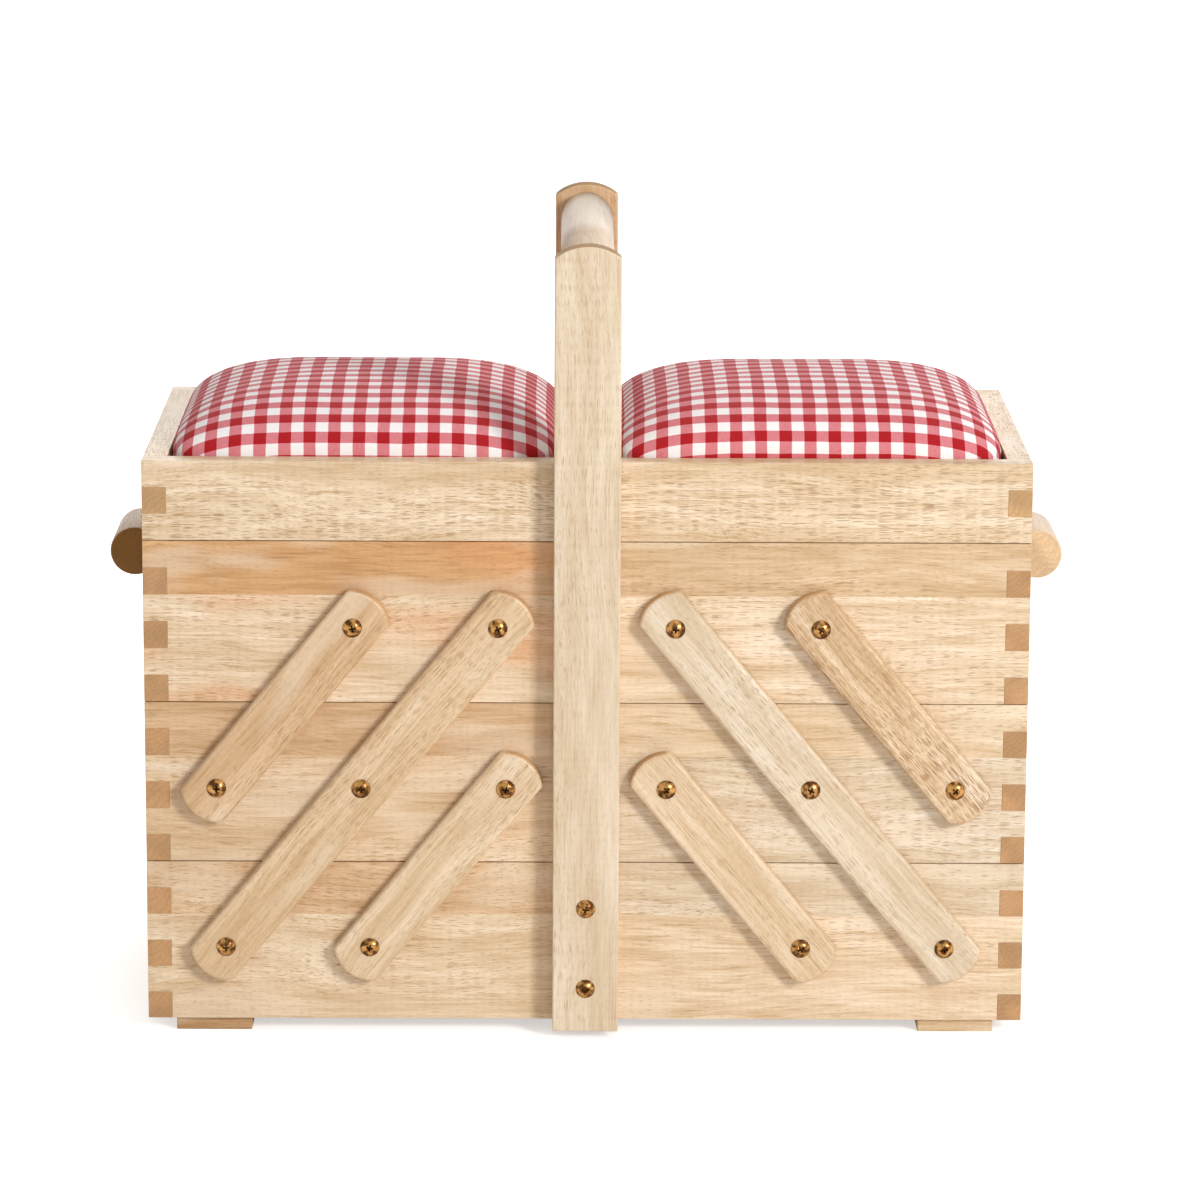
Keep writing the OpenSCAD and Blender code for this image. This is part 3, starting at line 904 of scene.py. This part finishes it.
@dataclass
class FingerBox:
    """Four boards with finger joints at their corners, and the panel in their grooves."""

    prefix: str
    body: str
    panel: str
    seed: int
    front_tones: tuple[Tone, Tone]
    side_tones: tuple[Tone, Tone]
    walls: tuple[str, ...] = ("front", "rear", "outer", "inner")
    board: str = "wall"
    finger_rows: int = 6
    leaves: str = ""
    right_tones: tuple[Tone, Tone] | None = None
    blush: float = 0.0
    end_tone: Tone = Tone.END_GRAIN
    pore_share: float = 0.85
    strip_drop: float = 27 * MM
    edge: float = 0.28 * MM
    groove_fit: float = 0.1 * MM
    recess_fit: float = 0.06 * MM

    def outline(self, low: Vector, high: Vector, lengthwise: bool) -> tuple[list[Vector], Vector]:
        """Draws a board's face with the notches of its finger joints.

        Args:
            low: Lowest corner of the board.
            high: Highest corner of the board.
            lengthwise: Whether it runs along X.

        Returns:
            The corners in order, and the way through the board's thickness.
        """
        start, end = (low.x, high.x) if lengthwise else (low.y, high.y)
        thick = (high.y - low.y) if lengthwise else (high.x - low.x)
        row = (high.z - low.z) / self.finger_rows
        near, far = [], []
        for index in range(self.finger_rows):
            cut = thick if index % 2 == lengthwise else 0.0
            top = high.z - index * row
            for level in (top, top - row):
                near.append((start + cut, level))
                far.append((end - cut, level))
        corners = near + far[::-1]
        if lengthwise:
            return [Vector((s, low.y, z)) for s, z in corners], Vector((0, thick, 0))
        return [Vector((low.x, s, z)) for s, z in corners], Vector((thick, 0, 0))

    def finish(self, top: float, height: float, lengthwise: bool, index: int) -> WoodFinish:
        """Chooses the wood of one board.

        Args:
            top: Height of its upper edge.
            height: Its own height.
            lengthwise: Whether it runs along X.
            index: Its number among the four.

        Returns:
            Its finish.
        """
        upper, lower = self.front_tones if lengthwise else self.side_tones
        tall = height > 2 * self.strip_drop
        return WoodFinish(
            tone=lower,
            upper_tone=upper if tall else None,
            right_tones=self.right_tones if lengthwise else None,
            strip_edge=top - self.strip_drop if tall else NO_EDGE,
            seed=self.seed * 4 + index,
            grain=Grain.ALONG_X if lengthwise else Grain.ALONG_Y,
            end_tone=self.end_tone,
            blush=self.blush if lengthwise else 0.0,
            pore_share=self.pore_share,
        )

    def build(self) -> None:
        """Shapes and dresses the boards and the panel."""
        for index, wall in enumerate(self.walls):
            node = f"{self.prefix}_{wall}_{self.board}"
            low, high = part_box(node)
            lengthwise = wall in ("front", "rear")
            piece = Workpiece(f"{self.prefix}_{wall}_board")
            piece.slab(*self.outline(low, high, lengthwise), self.edge)
            piece.carve(block("groove", *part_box(self.panel), self.groove_fit))
            if wall == "outer" and self.leaves:
                space = Workpiece("recess")
                for plate in leaf_plates(self.leaves):
                    space.join(block("leaf", *plate, self.recess_fit).shape)
                piece.carve(space)
            wood = self.finish(high.z, high.z - low.z, lengthwise, index)
            piece.dress(self.body, "board_wood", node, wood.material(f"{piece.name}_wood"))
        dress_node(self.panel, PlywoodFinish(self.seed).material(f"{self.prefix}_plywood"))


# Screws

@dataclass
class ScrewSet:
    """Domed cross-head screws that share one node, each with its cross turned its own way."""

    name: str
    node: str
    body: str
    places: list[Vector]
    head_radius: float = 4.75 * MM
    dome: float = 2.4 * MM
    rim: float = 0.25 * MM
    rings: int = 9
    spokes: int = 40
    shank_radius: float = 2.5 * MM
    shank_sides: int = 24
    shank_overlap: float = 0.2 * MM
    slot_length: float = 5.4 * MM
    slot_width: float = 1.15 * MM
    slot_depth: float = 1.5 * MM
    slot_taper: tuple[float, float] = (0.35, 0.6)
    least_sunk: float = 0.06 * MM
    least_lift: float = 0.05 * MM
    turns: tuple[float, ...] = (12.0, 51.0, 78.0, 33.0, 64.0, 5.0, 42.0, 87.0, 24.0)

    PRESSED = BrassFinish(3, (96, 66, 34), (48, 32, 18), 0.5)

    def head(self) -> Workpiece:
        """Spins the dome, with its crown towards -Y at y = 0, and presses the cross into it.

        Returns:
            One head, with the faces of its cross in the second material.
        """
        piece = Workpiece("screw_head")
        shape = piece.shape
        ball = (self.head_radius ** 2 + self.dome ** 2) / (2 * self.dome)
        spread = math.asin(self.head_radius / ball)
        profile = [shape.verts.new((x, self.dome, 0)) for x in (0, self.head_radius)]
        for step in range(self.rings + 1):
            angle = spread * (1 - step / self.rings)
            lift = min(ball * (1 - math.cos(angle)), self.dome - self.rim)
            profile.append(shape.verts.new((ball * math.sin(angle), lift, 0)))
        edges = [shape.edges.new(pair) for pair in zip(profile, profile[1:])]
        bmesh.ops.spin(
            shape, geom=profile + edges, cent=(0, 0, 0), axis=(0, 1, 0),
            angle=2 * math.pi, steps=self.spokes, use_merge=True,
        )
        bmesh.ops.remove_doubles(shape, verts=shape.verts, dist=10 * TOUCH)
        bmesh.ops.recalc_face_normals(shape, faces=shape.faces)
        piece.carve(self.cross())
        centre = Vector((0, ball, 0))
        for face in piece.shape.faces:
            middle = face.calc_center_median()
            sunk = ball - (middle - centre).length
            pressed = sunk > self.least_sunk and middle.y < self.dome - self.least_lift
            face.material_index = int(pressed)
            face.smooth = not pressed
        return piece

    def cross(self) -> Workpiece:
        """Shapes the two tapered wings of the driver's cross.

        Returns:
            The cross.
        """
        tool = Workpiece("cross")
        half, side = self.slot_length / 2, self.slot_width / 2
        for turn in (0.0, math.pi / 2):
            corners = Vector((-half, -MM, -side)), Vector((half, self.slot_depth, side))
            wing = block("wing", *corners).shape
            for vert in wing.verts:
                if vert.co.y > 0:
                    vert.co.x *= self.slot_taper[0]
                    vert.co.z *= self.slot_taper[1]
            turn_shape(wing, turn, "Y")
            tool.join(wing)
        return tool

    def build(self) -> None:
        """Places the screws and dresses them."""
        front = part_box(self.node)[0].y
        master = self.head().shape
        piece = Workpiece(self.name)
        for index, place in enumerate(self.places):
            head = master.copy()
            turn = self.turns[(index * 2 + len(self.name)) % len(self.turns)]
            turn_shape(head, math.radians(turn), "Y")
            bmesh.ops.translate(head, verts=head.verts, vec=(place.x, front, place.z))
            way = -1
            if place.y > 0:
                way = 1
                turn_shape(head, math.pi, "Z", place.x)
            piece.join(head)
            top = way * (abs(front) - self.dome + self.shank_overlap)
            piece.dowel(Vector((place.x, top, place.z)), place, self.shank_radius, self.shank_sides)
        master.free()
        brass = BrassFinish(len(self.name)).material(f"{self.name}_brass")
        piece.dress(self.body, "brass", self.node, brass, self.PRESSED.material(f"{self.name}_cross"))


# Link arms

@dataclass
class LinkArms:
    """One arm in front and its twin behind, with rounded outer edges and arched ends."""

    name: str
    first: Vector
    last: Vector
    pivots: int
    tone: Tone
    seed: int
    figure: float = 0.9
    width: float = 27 * MM
    crown: float = 18 * MM
    end_radius: float = 19 * MM
    edge: float = 1.9 * MM
    edge_steps: int = 5
    back_edge: float = 0.3 * MM
    back_steps: int = 2
    bore: float = 2.55 * MM
    arc_steps: int = 10

    def outline(self, y: float) -> list[Vector]:
        """Draws the arm's face at y.

        Args:
            y: Place of the face.

        Returns:
            Its corners, in order.
        """
        along = (self.last - self.first).normalized()
        across = Vector((-along.z, 0, along.x))
        inset = self.end_radius - self.crown
        opening = math.asin(self.width / 2 / self.end_radius)
        corners = []
        for centre, way in ((self.last - along * inset, 1), (self.first + along * inset, -1)):
            for step in range(self.arc_steps + 1):
                angle = opening * (2 * step / self.arc_steps - 1)
                spoke = along * math.cos(angle) + across * math.sin(angle)
                corner = centre + way * self.end_radius * spoke
                corners.append(Vector((corner.x, y, corner.z)))
        return corners

    def build(self) -> None:
        """Shapes the two arms and dresses them."""
        node = f"{self.name}s"
        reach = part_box(node)[1].y
        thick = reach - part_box("base_rear_wall")[1].y - ARM_PLAY
        inner = reach - thick
        piece = Workpiece(f"{self.name}_pair")
        for way in (-1, 1):
            arm = extruded(self.outline(way * inner), Vector((0, way * thick, 0)))
            outer_edges = reach, self.edge, self.edge_steps
            for level, radius, steps in (outer_edges, (inner, self.back_edge, self.back_steps)):
                rim = [e for e in arm.edges if all(abs(abs(v.co.y) - level) < TOUCH for v in e.verts)]
                round_edges(arm, rim, radius, steps)
            piece.join(arm)
        bores = Workpiece("bores")
        far = Vector((0, reach + MM, 0))
        for index in range(self.pivots):
            place = self.first.lerp(self.last, index / (self.pivots - 1))
            bores.dowel(place - far, place + far, self.bore, BORE_SIDES)
        piece.carve(bores)
        flat = reach - 100 * TOUCH
        piece.smooth(lambda f: abs(f.normal.y) < SQUARE and abs(f.calc_center_median().y) < flat)
        wood = WoodFinish(
            self.tone, self.seed, end_tone=Tone.WARM_END, pore_share=self.figure, contrast=self.figure,
            lean=math.atan2(self.last.z - self.first.z, self.last.x - self.first.x),
        )
        piece.dress(node, "arm_wood", node, wood.material(f"{piece.name}_wood"))


# Posts, carrying bar, side handles and feet

@dataclass
class CarryingHandle:
    """Two posts with arched tops, and the round bar between them."""

    arch: float = 6 * MM
    edge: float = 0.8 * MM
    arc_steps: int = 16
    edge_steps: int = 3
    tenon_radius: float = 7 * MM
    tenon_sides: int = 48
    fit: float = 0.05 * MM
    screw_radius: float = 2.55 * MM
    screw_heights: tuple[float, float] = (26.5 * MM, 68 * MM)
    screw_dome: float = 2.4 * MM
    post_depth: float = 12 * MM
    screw_bite: float = 9 * MM

    def post(self, name: str, node: str, tone: Tone, seed: int) -> None:
        """Shapes one post.

        Args:
            name: Name of the piece.
            node: The node that it stands for.
            tone: Its wood.
            seed: Number that chooses its grain.
        """
        low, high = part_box(node)
        half = (high.x - low.x) / 2
        radius = (half ** 2 + self.arch ** 2) / (2 * self.arch)
        opening = math.asin(half / radius)
        corners = [Vector((-half, low.y, low.z)), Vector((half, low.y, low.z))]
        for step in range(self.arc_steps + 1):
            angle = opening * (1 - 2 * step / self.arc_steps)
            rise = high.z - radius + radius * math.cos(angle)
            corners.append(Vector((radius * math.sin(angle), low.y, rise)))
        piece = Workpiece(name)
        piece.slab(corners, Vector((0, high.y - low.y, 0)), self.edge, self.edge_steps)
        bar_low, bar_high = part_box("carrying_bar")
        middle = Vector((0, 0, (bar_low.z + bar_high.z) / 2))
        reach = Vector((0, bar_high.y + self.fit, 0))
        bores = Workpiece("bores")
        bores.dowel(middle - reach, middle + reach, self.tenon_radius + self.fit)
        far = Vector((0, max(abs(low.y), abs(high.y)) + MM, 0))
        for height in self.screw_heights:
            place = Vector((0, 0, height))
            bores.dowel(place - far, place + far, self.screw_radius, BORE_SIDES)
        piece.carve(bores)
        arch_low = high.z - self.arch - self.edge
        piece.smooth(lambda f: f.calc_center_median().z > arch_low and abs(f.normal.y) < SQUARE)
        # The arched post tops take end grain that holds painted shade
        wood = WoodFinish(tone, seed, Grain.ALONG_Z, end_tone=Tone.POST_END, pore_share=0.9, contrast=0.65)
        piece.dress("base", "post_wood", node, wood.material(f"{name}_wood"))

    def bar(self) -> None:
        """Shapes the carrying bar with its tenons."""
        low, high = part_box("carrying_bar")
        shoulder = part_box("base_rear_wall")[1].y
        middle = Vector((0, 0, (low.z + high.z) / 2))
        piece = Workpiece("hand_grip_bar")
        half = Vector((0, shoulder, 0))
        piece.dowel(middle - half, middle + half, (high.z - low.z) / 2)
        for way in (-1, 1):
            start, end = (middle + Vector((0, way * y, 0)) for y in (shoulder - MM, high.y))
            piece.dowel(start, end, self.tenon_radius, self.tenon_sides)
        piece.smooth(lambda f: abs(f.normal.y) < SQUARE)
        wood = WoodFinish(Tone.DRIFTWOOD, 71, Grain.ALONG_Y, pore_share=0.6, contrast=0.6, gloss=0.08)
        piece.dress("base", "dowel_wood", "carrying_bar", wood.material(f"{piece.name}_wood"))

    def build(self) -> None:
        """Shapes the posts, the bar and the post screws."""
        self.post("front_upright", "front_post", Tone.OAT, 61)
        self.post("rear_upright", "rear_post", Tone.HONEY, 65)
        self.bar()
        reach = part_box("post_screws")[1].y
        inner = reach - self.screw_dome - self.post_depth - self.screw_bite
        places = [Vector((0, way * inner, z)) for way in (-1, 1) for z in self.screw_heights]
        ScrewSet("post_screw_heads", "post_screws", "base", places).build()


@dataclass
class SideHandle:
    """A short dowel with a flat side against the end wall of a top tray."""

    side: Side
    end_tone: Tone
    edge: float = 1.1 * MM
    radius: float = 12.5 * MM
    sides: int = 72
    cap: float = 0.95

    def build(self) -> None:
        """Shapes the dowel and planes its flat."""
        name, out = self.side.value, self.side.outward
        node = f"{name}_side_handle"
        low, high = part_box(node)
        tip, wall = (low.x, high.x) if out < 0 else (high.x, low.x)
        axis = Vector((tip - out * self.radius, 0, (low.z + high.z) / 2))
        piece = Workpiece(f"{name}_grip_dowel")
        ends = (axis + Vector((0, y, 0)) for y in (low.y, high.y))
        piece.dowel(*ends, self.radius, self.sides, self.edge)
        shape = piece.shape
        cut = bmesh.ops.bisect_plane(
            shape, geom=shape.verts[:] + shape.edges[:] + shape.faces[:],
            plane_co=(wall, 0, 0), plane_no=(-out, 0, 0), clear_outer=True,
        )
        rim = [item for item in cut["geom_cut"] if isinstance(item, bmesh.types.BMEdge)]
        bmesh.ops.contextual_create(shape, geom=rim)
        piece.smooth(lambda f: abs(f.normal.y) < self.cap and f.normal.x * out > -SQUARE)
        wood = WoodFinish(
            Tone.DRIFTWOOD, 73 + 2 * out, Grain.ALONG_Y,
            end_tone=self.end_tone, pore_share=0.8, contrast=0.7, gloss=0.05,
        )
        piece.dress(f"{name}_top_tray", "dowel_wood", node, wood.material(f"{piece.name}_wood"))


@dataclass
class Feet:
    """Four low blocks under the base."""

    length: float = 38 * MM
    width: float = 30 * MM
    edge: float = 0.7 * MM

    def build(self) -> None:
        """Shapes the four blocks."""
        low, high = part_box("base_feet")
        piece = Workpiece("base_foot_blocks")
        for x in (low.x, high.x - self.length):
            for y in (low.y, high.y - self.width):
                far_x, far_y = x + self.length, y + self.width
                corners = ((x, y), (far_x, y), (far_x, far_y), (x, far_y))
                outline = [Vector((*corner, low.z)) for corner in corners]
                piece.slab(outline, Vector((0, 0, high.z - low.z)), self.edge)
        wood = WoodFinish(Tone.BLOCK, 81, right_tones=(Tone.BUFF, Tone.BUFF), contrast=1.1)
        piece.dress("base", "dowel_wood", "base_feet", wood.material(f"{piece.name}_wood"))


# Cushions

@dataclass
class Cushion:
    """A stuffed gingham pad that fills a lid frame and crowns over its rim."""

    side: Side
    across_start: float
    along_start: float
    shoulder: float = 75 * MM
    shoulder_power: float = 2.8
    crown_power: float = 1.9
    corner_draw: float = 5.5 * MM
    corner_power: int = 8
    cells: int = 70
    crowding: float = 0.6
    skin: float = 0.15 * MM
    pinned_band: float = 3 * MM
    frames: int = 16
    most_swell: float = 2.5 * MM

    COVER = {
        "quality": 6,
        "mass": 0.2,
        "tension_stiffness": 25,
        "compression_stiffness": 25,
        "bending_stiffness": 0.6,
        "use_pressure": True,
        "uniform_pressure_force": 4.0,
    }

    def rise(self, inset: float) -> float:
        """Share of the crown at a distance from the edge."""
        share = min(1.0, max(0.0, inset / self.shoulder))
        return max(0.0, 1 - (1 - share) ** self.shoulder_power) ** (1 / self.crown_power)

    def crowded(self, share: float) -> float:
        """Moves a grid line's place, from -1 to 1, part of the way towards the edge."""
        return self.crowding * math.sin(share * math.pi / 2) + (1 - self.crowding) * share

    def grid(self, low: Vector, high: Vector, rim: float) -> bmesh.types.BMesh:
        """Shapes the crown from a flat grid and closes it down to the lid board.

        Args:
            low: Lowest corner of the pad.
            high: Highest corner of the pad.
            rim: Height of the lid frame's top.

        Returns:
            The closed pad.
        """
        middle = (low + high) / 2
        half = (high - low) / 2 - Vector((self.skin, self.skin, 0))
        crown = high.z - self.skin - rim
        pad = bmesh.new()
        bmesh.ops.create_grid(pad, x_segments=self.cells, y_segments=self.cells, size=1.0)
        for vert in pad.verts:
            u, v = self.crowded(vert.co.x), self.crowded(vert.co.y)
            draw = self.corner_draw * (u * v) ** self.corner_power
            lift = self.rise(half.x * (1 - abs(u))) * self.rise(half.y * (1 - abs(v)))
            vert.co = (
                middle.x + half.x * u - math.copysign(draw, u),
                middle.y + half.y * v - math.copysign(draw, v),
                rim + crown * lift,
            )
        border = [edge for edge in pad.edges if edge.is_boundary]
        for level in (rim - self.pinned_band, low.z):
            raised = bmesh.ops.extrude_edge_only(pad, edges=border)["geom"]
            for item in raised:
                if isinstance(item, bmesh.types.BMVert):
                    item.co.z = level
            edges = [item for item in raised if isinstance(item, bmesh.types.BMEdge)]
            border = [edge for edge in edges if edge.is_boundary]
        bmesh.ops.contextual_create(pad, geom=border)
        bmesh.ops.recalc_face_normals(pad, faces=pad.faces)
        return pad

    def pinned(self, count: int) -> list[int]:
        """Lists the points that the lid frame holds: the crown's edge, and all below it.

        Args:
            count: Number of points of the pad.

        Returns:
            Their indices.
        """
        side, ends = self.cells + 1, (0, self.cells)
        return [
            index for index in range(count)
            if index >= side ** 2 or index % side in ends or index // side in ends
        ]

    def stuff(self, pad: bpy.types.Object) -> None:
        """Blows the cover up from inside, and holds each point near its shape.

        Args:
            pad: The pad's object.
        """
        rest = [vert.co.copy() for vert in pad.data.vertices]
        group = pad.vertex_groups.new(name="held")
        group.add(self.pinned(len(rest)), 1.0, "REPLACE")
        cloth = pad.modifiers.new("cover", "CLOTH")
        for key, value in self.COVER.items():
            setattr(cloth.settings, key, value)
        cloth.settings.vertex_group_mass = group.name
        cloth.settings.effector_weights.gravity = 0.0
        cloth.point_cache.frame_start = 1
        cloth.point_cache.frame_end = self.frames
        scene = bpy.context.scene
        for number in range(1, self.frames + 1):
            scene.frame_set(number)
        seen = pad.evaluated_get(bpy.context.evaluated_depsgraph_get())
        swollen = [vert.co.copy() for vert in seen.data.vertices]
        pad.modifiers.remove(cloth)
        pad.vertex_groups.remove(group)
        scene.frame_set(1)
        for vert, start, end in zip(pad.data.vertices, rest, swollen):
            way = end - start
            if way.length > self.most_swell:
                way *= self.most_swell / way.length
            vert.co = start + way

    @staticmethod
    def measured(line: Sequence[Vector]) -> list[float]:
        """Measures the cover along one thread.

        Args:
            line: Points of the thread.

        Returns:
            The length up to each point, counted from the middle one.
        """
        middle = len(line) // 2
        places = [0.0] * len(line)
        for index in range(middle + 1, len(line)):
            places[index] = places[index - 1] + (line[index] - line[index - 1]).length
        for index in range(middle - 1, -1, -1):
            places[index] = places[index + 1] - (line[index] - line[index + 1]).length
        return places

    def lay_cloth(self, pad: bpy.types.Object) -> None:
        """Keeps the lengths along both threads as a UV map in metres.

        Args:
            pad: The pad's object.
        """
        side = self.cells + 1
        points = [vert.co for vert in pad.data.vertices]
        top = points[:side ** 2]
        rows = [self.measured(top[row * side:(row + 1) * side]) for row in range(side)]
        columns = [self.measured(top[column::side]) for column in range(side)]
        sheet = pad.data.uv_layers.new(name="cloth")
        for loop in pad.data.loops:
            row, column = divmod(loop.vertex_index, side)
            if row < side:
                place = rows[row][column], columns[column][row]
            else:
                way = points[loop.vertex_index] - points[0]
                place = way.x + rows[0][0], way.y + columns[0][0]
            sheet.data[loop.index].uv = place

    def build(self) -> None:
        """Shapes, stuffs and dresses the pad."""
        name = self.side.value
        node = f"{name}_cushion"
        piece = Workpiece(f"{name}_gingham_pad")
        piece.shape = self.grid(*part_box(node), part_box(f"{name}_lid_front_rail")[1].z)
        piece.smooth(lambda f: f.normal.z > -SQUARE)
        pad = piece.to_object(piece.name)
        self.stuff(pad)
        self.lay_cloth(pad)
        cloth = GinghamFinish(self.across_start, self.along_start)
        pad.data.materials.append(cloth.material(f"{pad.name}_cloth"))
        hand_over(pad, f"{name}_lid", node)


# The whole carrier

@dataclass
class Carrier:
    """The sewing carrier, from its feet to its cushions."""

    lid_rows: int = 3
    screw_bite: float = 9 * MM

    def base(self) -> None:
        """Builds the base tray and its feet."""
        FingerBox(
            "base", "base", "base_bottom_panel", 1, (Tone.HONEY, Tone.BUFF), (Tone.STRAW, Tone.SAND),
            walls=("front", "rear", "left", "right"), right_tones=(Tone.IVORY, Tone.OAT),
        ).build()
        Feet().build()

    def trays(self, side: Side) -> None:
        """Builds a middle tray, a top tray and a lid frame.

        Args:
            side: The half of the carrier that they belong to.
        """
        name, left = side.value, side is Side.LEFT
        leaves, lid_leaves = f"{name}_tray_hinge_leaves", f"{name}_lid_hinge_leaves"
        seed = 2 if left else 5
        FingerBox(
            f"{name}_middle", f"{name}_middle_tray", f"{name}_middle_panel", seed,
            (Tone.HONEY, Tone.SAND) if left else (Tone.BUFF, Tone.OAT), (Tone.STRAW, Tone.SAND),
        ).build()
        FingerBox(
            f"{name}_top", f"{name}_top_tray", f"{name}_top_panel", seed + 1,
            (Tone.AMBER, Tone.CREAM) if left else (Tone.STRAW, Tone.IVORY), (Tone.SAND, Tone.STRAW),
            leaves=leaves, blush=0.35 if left else 0.0,
        ).build()
        FingerBox(
            f"{name}_lid", f"{name}_lid", f"{name}_lid_board", seed + 2,
            (Tone.CREAM, Tone.CREAM) if left else (Tone.BUFF, Tone.BUFF), (Tone.BUFF, Tone.BUFF),
            board="rail", finger_rows=self.lid_rows, leaves=lid_leaves,
            end_tone=Tone.WARM_END, pore_share=1.05,
        ).build()
        dress_node(leaves, BrassFinish(31).material(f"{leaves}_brass"))
        dress_node(lid_leaves, BrassFinish(37).material(f"{lid_leaves}_brass"))

    def arms(self, side: Side) -> None:
        """Builds the three pairs of arms of one side, and the screws that they turn on.

        Args:
            side: The half of the carrier that they belong to.
        """
        name, left = side.value, side is Side.LEFT
        low = joint_place(f"{name}_fold")
        middle, top, lower, upper = (
            joint_place(f"{name}_{piece}_pivot")
            for piece in ("middle_tray", "top_tray", "lower_arm", "upper_arm")
        )
        step = middle - low
        long_tone, upper_tone = (Tone.STRAW, Tone.HONEY) if left else (Tone.OAT, Tone.SAND)
        seed, figure = (21, 0.9) if left else (31, 1.3)
        LinkArms(f"{name}_long_arm", low, top, 3, long_tone, seed).build()
        LinkArms(f"{name}_lower_arm", lower, lower + step, 2, Tone.BUFF, seed + 2).build()
        LinkArms(f"{name}_upper_arm", upper, upper + step, 2, upper_tone, seed + 4, figure).build()
        self.screws(f"{name}_middle", f"{name}_middle_tray", [upper, middle, lower + step])
        self.screws(f"{name}_top", f"{name}_top_tray", [upper + step, top])

    def screws(self, prefix: str, body: str, places: list[Vector]) -> None:
        """Sets the pivot screws of one tray, in front and behind.

        Args:
            prefix: Start of the names.
            body: The body that they ride on.
            places: Their places in the plane of x and z.
        """
        node = f"{prefix}_pivot_screws" if prefix == "base" else f"{prefix}_screws"
        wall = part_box(f"{prefix}_rear_wall")[1].y - self.screw_bite
        both = [Vector((place.x, way * wall, place.z)) for way in (-1, 1) for place in places]
        ScrewSet(f"{prefix}_pivot_heads", node, body, both).build()

    def build(self) -> None:
        """Builds every piece of the carrier."""
        self.base()
        CarryingHandle().build()
        base_places = []
        for side in Side:
            self.trays(side)
            self.arms(side)
            base_places += [joint_place(f"{side.value}_{joint}") for joint in ("fold", "lower_arm_pivot")]
        self.screws("base", "base", base_places)
        # The left handle's end takes darker wood mixed with painted shade from the carrier's shadow
        SideHandle(Side.LEFT, Tone.DARK_CORE).build()
        SideHandle(Side.RIGHT, Tone.STRAW).build()
        Cushion(Side.LEFT, -2.7 * MM, 5.1 * MM).build()
        Cushion(Side.RIGHT, 0.0, 6.8 * MM).build()


# The studio

@dataclass(frozen=True)
class SoftLamp:
    """A square soft lamp, with its place and side in metres and its power in watts."""

    name: str
    place: tuple[float, float, float]
    power: float
    size: float = 1.6

    def hang(self, aim: Vector) -> None:
        """Hangs the lamp.

        Args:
            aim: The point that it faces.
        """
        data = bpy.data.lights.new(self.name, "AREA")
        data.energy = self.power
        data.size = self.size
        lamp = bpy.data.objects.new(self.name, data)
        lamp.location = self.place
        lamp.rotation_euler = (aim - Vector(self.place)).to_track_quat("-Z", "Y").to_euler()
        bpy.context.scene.collection.objects.link(lamp)


@dataclass
class Studio:
    """White floor, soft lamps and the camera."""

    middle: tuple[float, float, float] = (0.0, 0.0, 0.18)
    lamps: tuple[SoftLamp, ...] = (
        SoftLamp("key_lamp", (1.7, -2.1, 1.25), 51.0, 0.6),
        SoftLamp("fill_lamp", (-2.0, -1.8, 1.0), 3.0),
        SoftLamp("top_lamp", (0.3, -0.2, 2.3), 9.0),
        SoftLamp("rear_lamp", (0.1, 2.4, 1.25), 12.0),
    )
    floor_reach: float = 30.0
    floor_colour: Colour = (0.9, 0.9, 0.9, 1.0)
    glow_levels: tuple[float, float, float, float] = (0.20, 0.36, 0.55, 1.0)
    world_light: float = 0.37
    world_tint: Colour = (1.0, 0.965, 0.91, 1.0)
    white: Colour = (1.0, 1.0, 1.0, 1.0)
    camera_place: tuple[float, float, float] = (-0.01087, -2.58466, 0.7705)
    pitch: float = 0.2171
    yaw: float = -0.007
    roll: float = 0.0053
    lens: float = 153.72
    sensor: float = 36.0

    def floor(self) -> None:
        """Lays the white floor, which stays bright for the camera far from the carrier."""
        sheet = Workpiece("studio_floor")
        bmesh.ops.create_grid(sheet.shape, x_segments=1, y_segments=1, size=self.floor_reach)
        floor = sheet.to_object(sheet.name)
        sketch = Sketch(bpy.data.materials.new("studio_white"))
        reach = sketch.measure("LENGTH", sketch.coordinates())
        glow = sketch.between(reach, *self.glow_levels)
        sketch.set(Base_Color=self.floor_colour, Roughness=0.9, Specular_IOR_Level=0.0)
        sketch.set(Emission_Color=self.white, Emission_Strength=glow * sketch.seen_by_eye())
        floor.data.materials.append(sketch.owner)

    def world(self) -> None:
        """Sets an even surround that is full white only for the eye."""
        sketch = Sketch(bpy.data.worlds.new("studio_air"), "Background")
        seen = sketch.seen_by_eye()
        tint = sketch.blend(seen, self.world_tint, self.white)
        sketch.set(Color=tint, Strength=sketch.between(seen, 0.0, 1.0, self.world_light, 1.0))
        bpy.context.scene.world = sketch.owner

    def camera(self) -> None:
        """Sets the camera at the photograph's point of view."""
        forward = Vector((
            -math.sin(self.yaw) * math.cos(self.pitch),
            math.cos(self.yaw) * math.cos(self.pitch),
            -math.sin(self.pitch),
        ))
        level = Vector((math.cos(self.yaw), math.sin(self.yaw), 0))
        above = level.cross(forward)
        right = level * math.cos(self.roll) + above * math.sin(self.roll)
        up = above * math.cos(self.roll) - level * math.sin(self.roll)
        data = bpy.data.cameras.new("photo_camera")
        data.lens = self.lens
        data.sensor_width = self.sensor
        camera = bpy.data.objects.new("photo_camera", data)
        turned = Matrix((right, up, -forward)).transposed().to_4x4()
        camera.matrix_world = Matrix.Translation(self.camera_place) @ turned
        bpy.context.scene.collection.objects.link(camera)
        bpy.context.scene.camera = camera

    def build(self) -> None:
        """Sets up the camera, the lamps, the floor and the surround."""
        self.camera()
        for lamp in self.lamps:
            lamp.hang(Vector(self.middle))
        self.floor()
        self.world()
        bpy.context.scene.view_settings.view_transform = "Standard"


def main() -> None:
    """Builds the carrier and its studio."""
    logging.basicConfig(level=logging.INFO, format="%(message)s")
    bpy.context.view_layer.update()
    Studio().build()
    Carrier().build()


if __name__ == "__main__":
    main()
